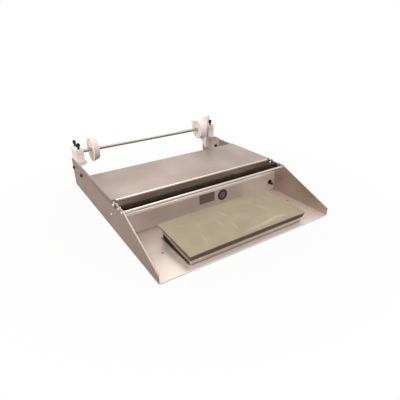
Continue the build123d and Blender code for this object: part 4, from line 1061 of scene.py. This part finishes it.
@dataclass
class Studio:
    """Camera, plain white floor and soft studio light, in metres."""

    camera_at: Point = (-0.5246, -0.92213, 0.5272)
    yaw_degrees: float = 32.1
    pitch_degrees: float = -26.69
    roll_degrees: float = -1.25
    lens_mm: float = 31.51
    sensor_mm: float = 36.0
    floor_half: float = 6.0
    footprint_half: tuple[float, float] = (0.272, 0.318)
    sky_strength: float = 0.68
    floor_white: float = 0.965    # share of plain white close to the machine
    floor_mirrored: float = 0.2   # the same for what sheets mirror
    shadow_reach: tuple[float, float] = (0.42, 0.75)

    def camera(self) -> None:
        """Puts the camera where the photograph was taken from."""
        yaw, pitch, roll = (radians(a) for a in (self.yaw_degrees, self.pitch_degrees,
                                                 self.roll_degrees))
        ahead = Vector((sin(yaw) * cos(pitch), cos(yaw) * cos(pitch), sin(pitch)))
        right = Vector((cos(yaw), -sin(yaw), 0.0))
        up = right.cross(ahead)
        turned_right = right * cos(roll) + up * sin(roll)
        turned_up = up * cos(roll) - right * sin(roll)
        lens = bpy.data.cameras.new("camera")
        lens.lens = self.lens_mm
        lens.sensor_width = self.sensor_mm
        lens.clip_start = 0.01
        eye = bpy.data.objects.new("camera", lens)
        turn = Matrix((turned_right, turned_up, -ahead)).transposed().to_4x4()
        eye.matrix_world = Matrix.Translation(self.camera_at) @ turn
        bpy.context.scene.collection.objects.link(eye)
        bpy.context.scene.camera = eye

    def seen_directly(self, tree: bpy.types.NodeTree) -> bpy.types.NodeSocket:
        """Adds what is 1 for camera, glossy and transmission rays.

        Args:
            tree: A node tree.

        Returns:
            The factor.
        """
        path = add_node(tree, "ShaderNodeLightPath")
        direct = add_node(tree, "ShaderNodeMath", operation="MAXIMUM",
                          links={0: path.outputs["Is Camera Ray"],
                                 1: path.outputs["Is Glossy Ray"]})
        seen = add_node(tree, "ShaderNodeMath", operation="MAXIMUM",
                        links={0: direct.outputs["Value"],
                               1: path.outputs["Is Transmission Ray"]})
        return seen.outputs["Value"]

    def sky(self) -> None:
        """Makes the surroundings: white where seen, softer where they only give light."""
        world = bpy.data.worlds.new("studio")
        bpy.context.scene.world = world
        world.use_nodes = True
        tree = world.node_tree
        tree.nodes.clear()
        light = add_node(tree, "ShaderNodeBackground",
                         values={"Color": linear("#fff6f0"), "Strength": self.sky_strength})
        white = add_node(tree, "ShaderNodeBackground",
                         values={"Color": linear("#ffffff"), "Strength": 1.0})
        both = add_node(tree, "ShaderNodeMixShader",
                        links={0: self.seen_directly(tree), 1: light.outputs["Background"],
                               2: white.outputs["Background"]})
        add_node(tree, "ShaderNodeOutputWorld", links={"Surface": both.outputs["Shader"]})

    def floor_seen(self, tree: bpy.types.NodeTree, camera_ray: bpy.types.NodeSocket
                   ) -> bpy.types.NodeSocket:
        """Adds the share of plain white for the camera: a little less near the machine.

        Args:
            tree: The floor's node tree.
            camera_ray: 1 for camera rays.

        Returns:
            The share.
        """
        place_on = add_node(tree, "ShaderNodeTexCoord")
        away = add_node(tree, "ShaderNodeVectorMath", operation="LENGTH",
                        links={0: place_on.outputs["Object"]})
        near, far = self.shadow_reach
        share = add_node(tree, "ShaderNodeMapRange",
                         values={"From Min": near, "From Max": far,
                                 "To Min": self.floor_white, "To Max": 1.0},
                         links={"Value": away.outputs["Value"]})
        seen = add_node(tree, "ShaderNodeMath", operation="MULTIPLY",
                        links={0: share.outputs["Result"], 1: camera_ray})
        return seen.outputs["Value"]

    def beside_machine(self, tree: bpy.types.NodeTree) -> bpy.types.NodeSocket:
        """Adds what is 0 on the shaded floor under the machine and 1 elsewhere.

        Args:
            tree: The floor's node tree.

        Returns:
            The factor.
        """
        place_on = add_node(tree, "ShaderNodeTexCoord")
        parts = add_node(tree, "ShaderNodeSeparateXYZ",
                         links={0: place_on.outputs["Object"]})
        outside = []
        for axis, half in zip("XY", self.footprint_half):
            far = add_node(tree, "ShaderNodeMath", operation="ABSOLUTE",
                           links={0: parts.outputs[axis]})
            beyond = add_node(tree, "ShaderNodeMath", operation="GREATER_THAN",
                              values={1: half}, links={0: far.outputs["Value"]})
            outside.append(beyond.outputs["Value"])
        either = add_node(tree, "ShaderNodeMath", operation="MAXIMUM",
                          links={0: outside[0], 1: outside[1]})
        return either.outputs["Value"]

    def floor(self) -> None:
        """Makes the plain floor: white where seen, with the machine's soft shadow."""
        material, tree = new_material("white_floor")
        paper = add_node(tree, "ShaderNodeBsdfDiffuse", values={"Color": linear("#a8a4a1")})
        glow = add_node(tree, "ShaderNodeEmission",
                        values={"Color": linear("#ffffff"), "Strength": 1.0})
        open_floor = self.beside_machine(tree)
        path = add_node(tree, "ShaderNodeLightPath")
        mirrored = add_node(tree, "ShaderNodeMath", operation="MULTIPLY",
                            values={1: self.floor_mirrored},
                            links={0: path.outputs["Is Glossy Ray"]})
        white = add_node(tree, "ShaderNodeMath", operation="MAXIMUM",
                         links={0: mirrored.outputs["Value"],
                                1: self.floor_seen(tree, path.outputs["Is Camera Ray"])})
        share = add_node(tree, "ShaderNodeMath", operation="MULTIPLY",
                         links={0: white.outputs["Value"], 1: open_floor})
        both = add_node(tree, "ShaderNodeMixShader",
                        links={0: share.outputs["Value"], 1: paper.outputs["BSDF"],
                               2: glow.outputs["Emission"]})
        add_node(tree, "ShaderNodeOutputMaterial", links={"Surface": both.outputs["Shader"]})
        shape = bmesh.new()
        bmesh.ops.create_grid(shape, x_segments=1, y_segments=1, size=self.floor_half)
        plane = mesh_piece("floor", shape, smooth=False)
        dress(plane, material)

    def lamp(self, name: str, at: Point, target: Point, size: float, watts: float,
             tint: str = "#fff8f2") -> None:
        """Adds one soft box.

        Args:
            name: The lamp's name.
            at: Where it hangs.
            target: What it points at.
            size: Side of its square face.
            watts: Its power.
            tint: Its colour.
        """
        data = bpy.data.lights.new(name, "AREA")
        data.size = size
        data.energy = watts
        data.color = linear(tint)[:3]
        lamp = bpy.data.objects.new(name, data)
        turn = (Vector(target) - Vector(at)).to_track_quat("-Z", "Y").to_matrix().to_4x4()
        lamp.matrix_world = Matrix.Translation(at) @ turn
        bpy.context.scene.collection.objects.link(lamp)

    def build(self) -> None:
        """Makes the whole studio."""
        self.camera()
        self.sky()
        self.floor()
        self.lamp("key_box", (-1.3, -0.7, 2.3), (0.0, 0.0, 0.1), 1.4, 16.0)
        self.lamp("top_box", (0.9, 0.6, 2.6), (0.0, 0.0, 0.1), 1.0, 9.0)
        self.lamp("rear_box", (0.7, 1.7, 1.6), (0.0, -0.1, 0.1), 0.8, 3.0)
        self.lamp("left_box", (-2.2, -0.6, 0.9), (0.0, 0.0, 0.1), 1.0, 18.0)
        view = bpy.context.scene.view_settings
        view.view_transform = "Standard"
        log.info("studio ready")


def main() -> None:
    """Builds the sub-assemblies in order."""
    logging.basicConfig(level=logging.INFO, format="%(name)s: %(message)s")
    Studio().build()
    finishes = Finishes()
    Dressing(finishes).build()
    PanHeadPair("axle_screws", "machine_frame", 5.0, 2.4).build(finishes.zinc, "zinc_screw")
    PanHeadPair("brace_screws", "machine_frame", 4.2, 2.4).build(finishes.zinc, "zinc_screw")
    PanHeadPair("rod_screws", "machine_frame", 4.8, 2.4).build(finishes.zinc, "zinc_screw")
    FrontPanelDress(finishes).build()
    PaddedCover(finishes).build()


if __name__ == "__main__":
    main()
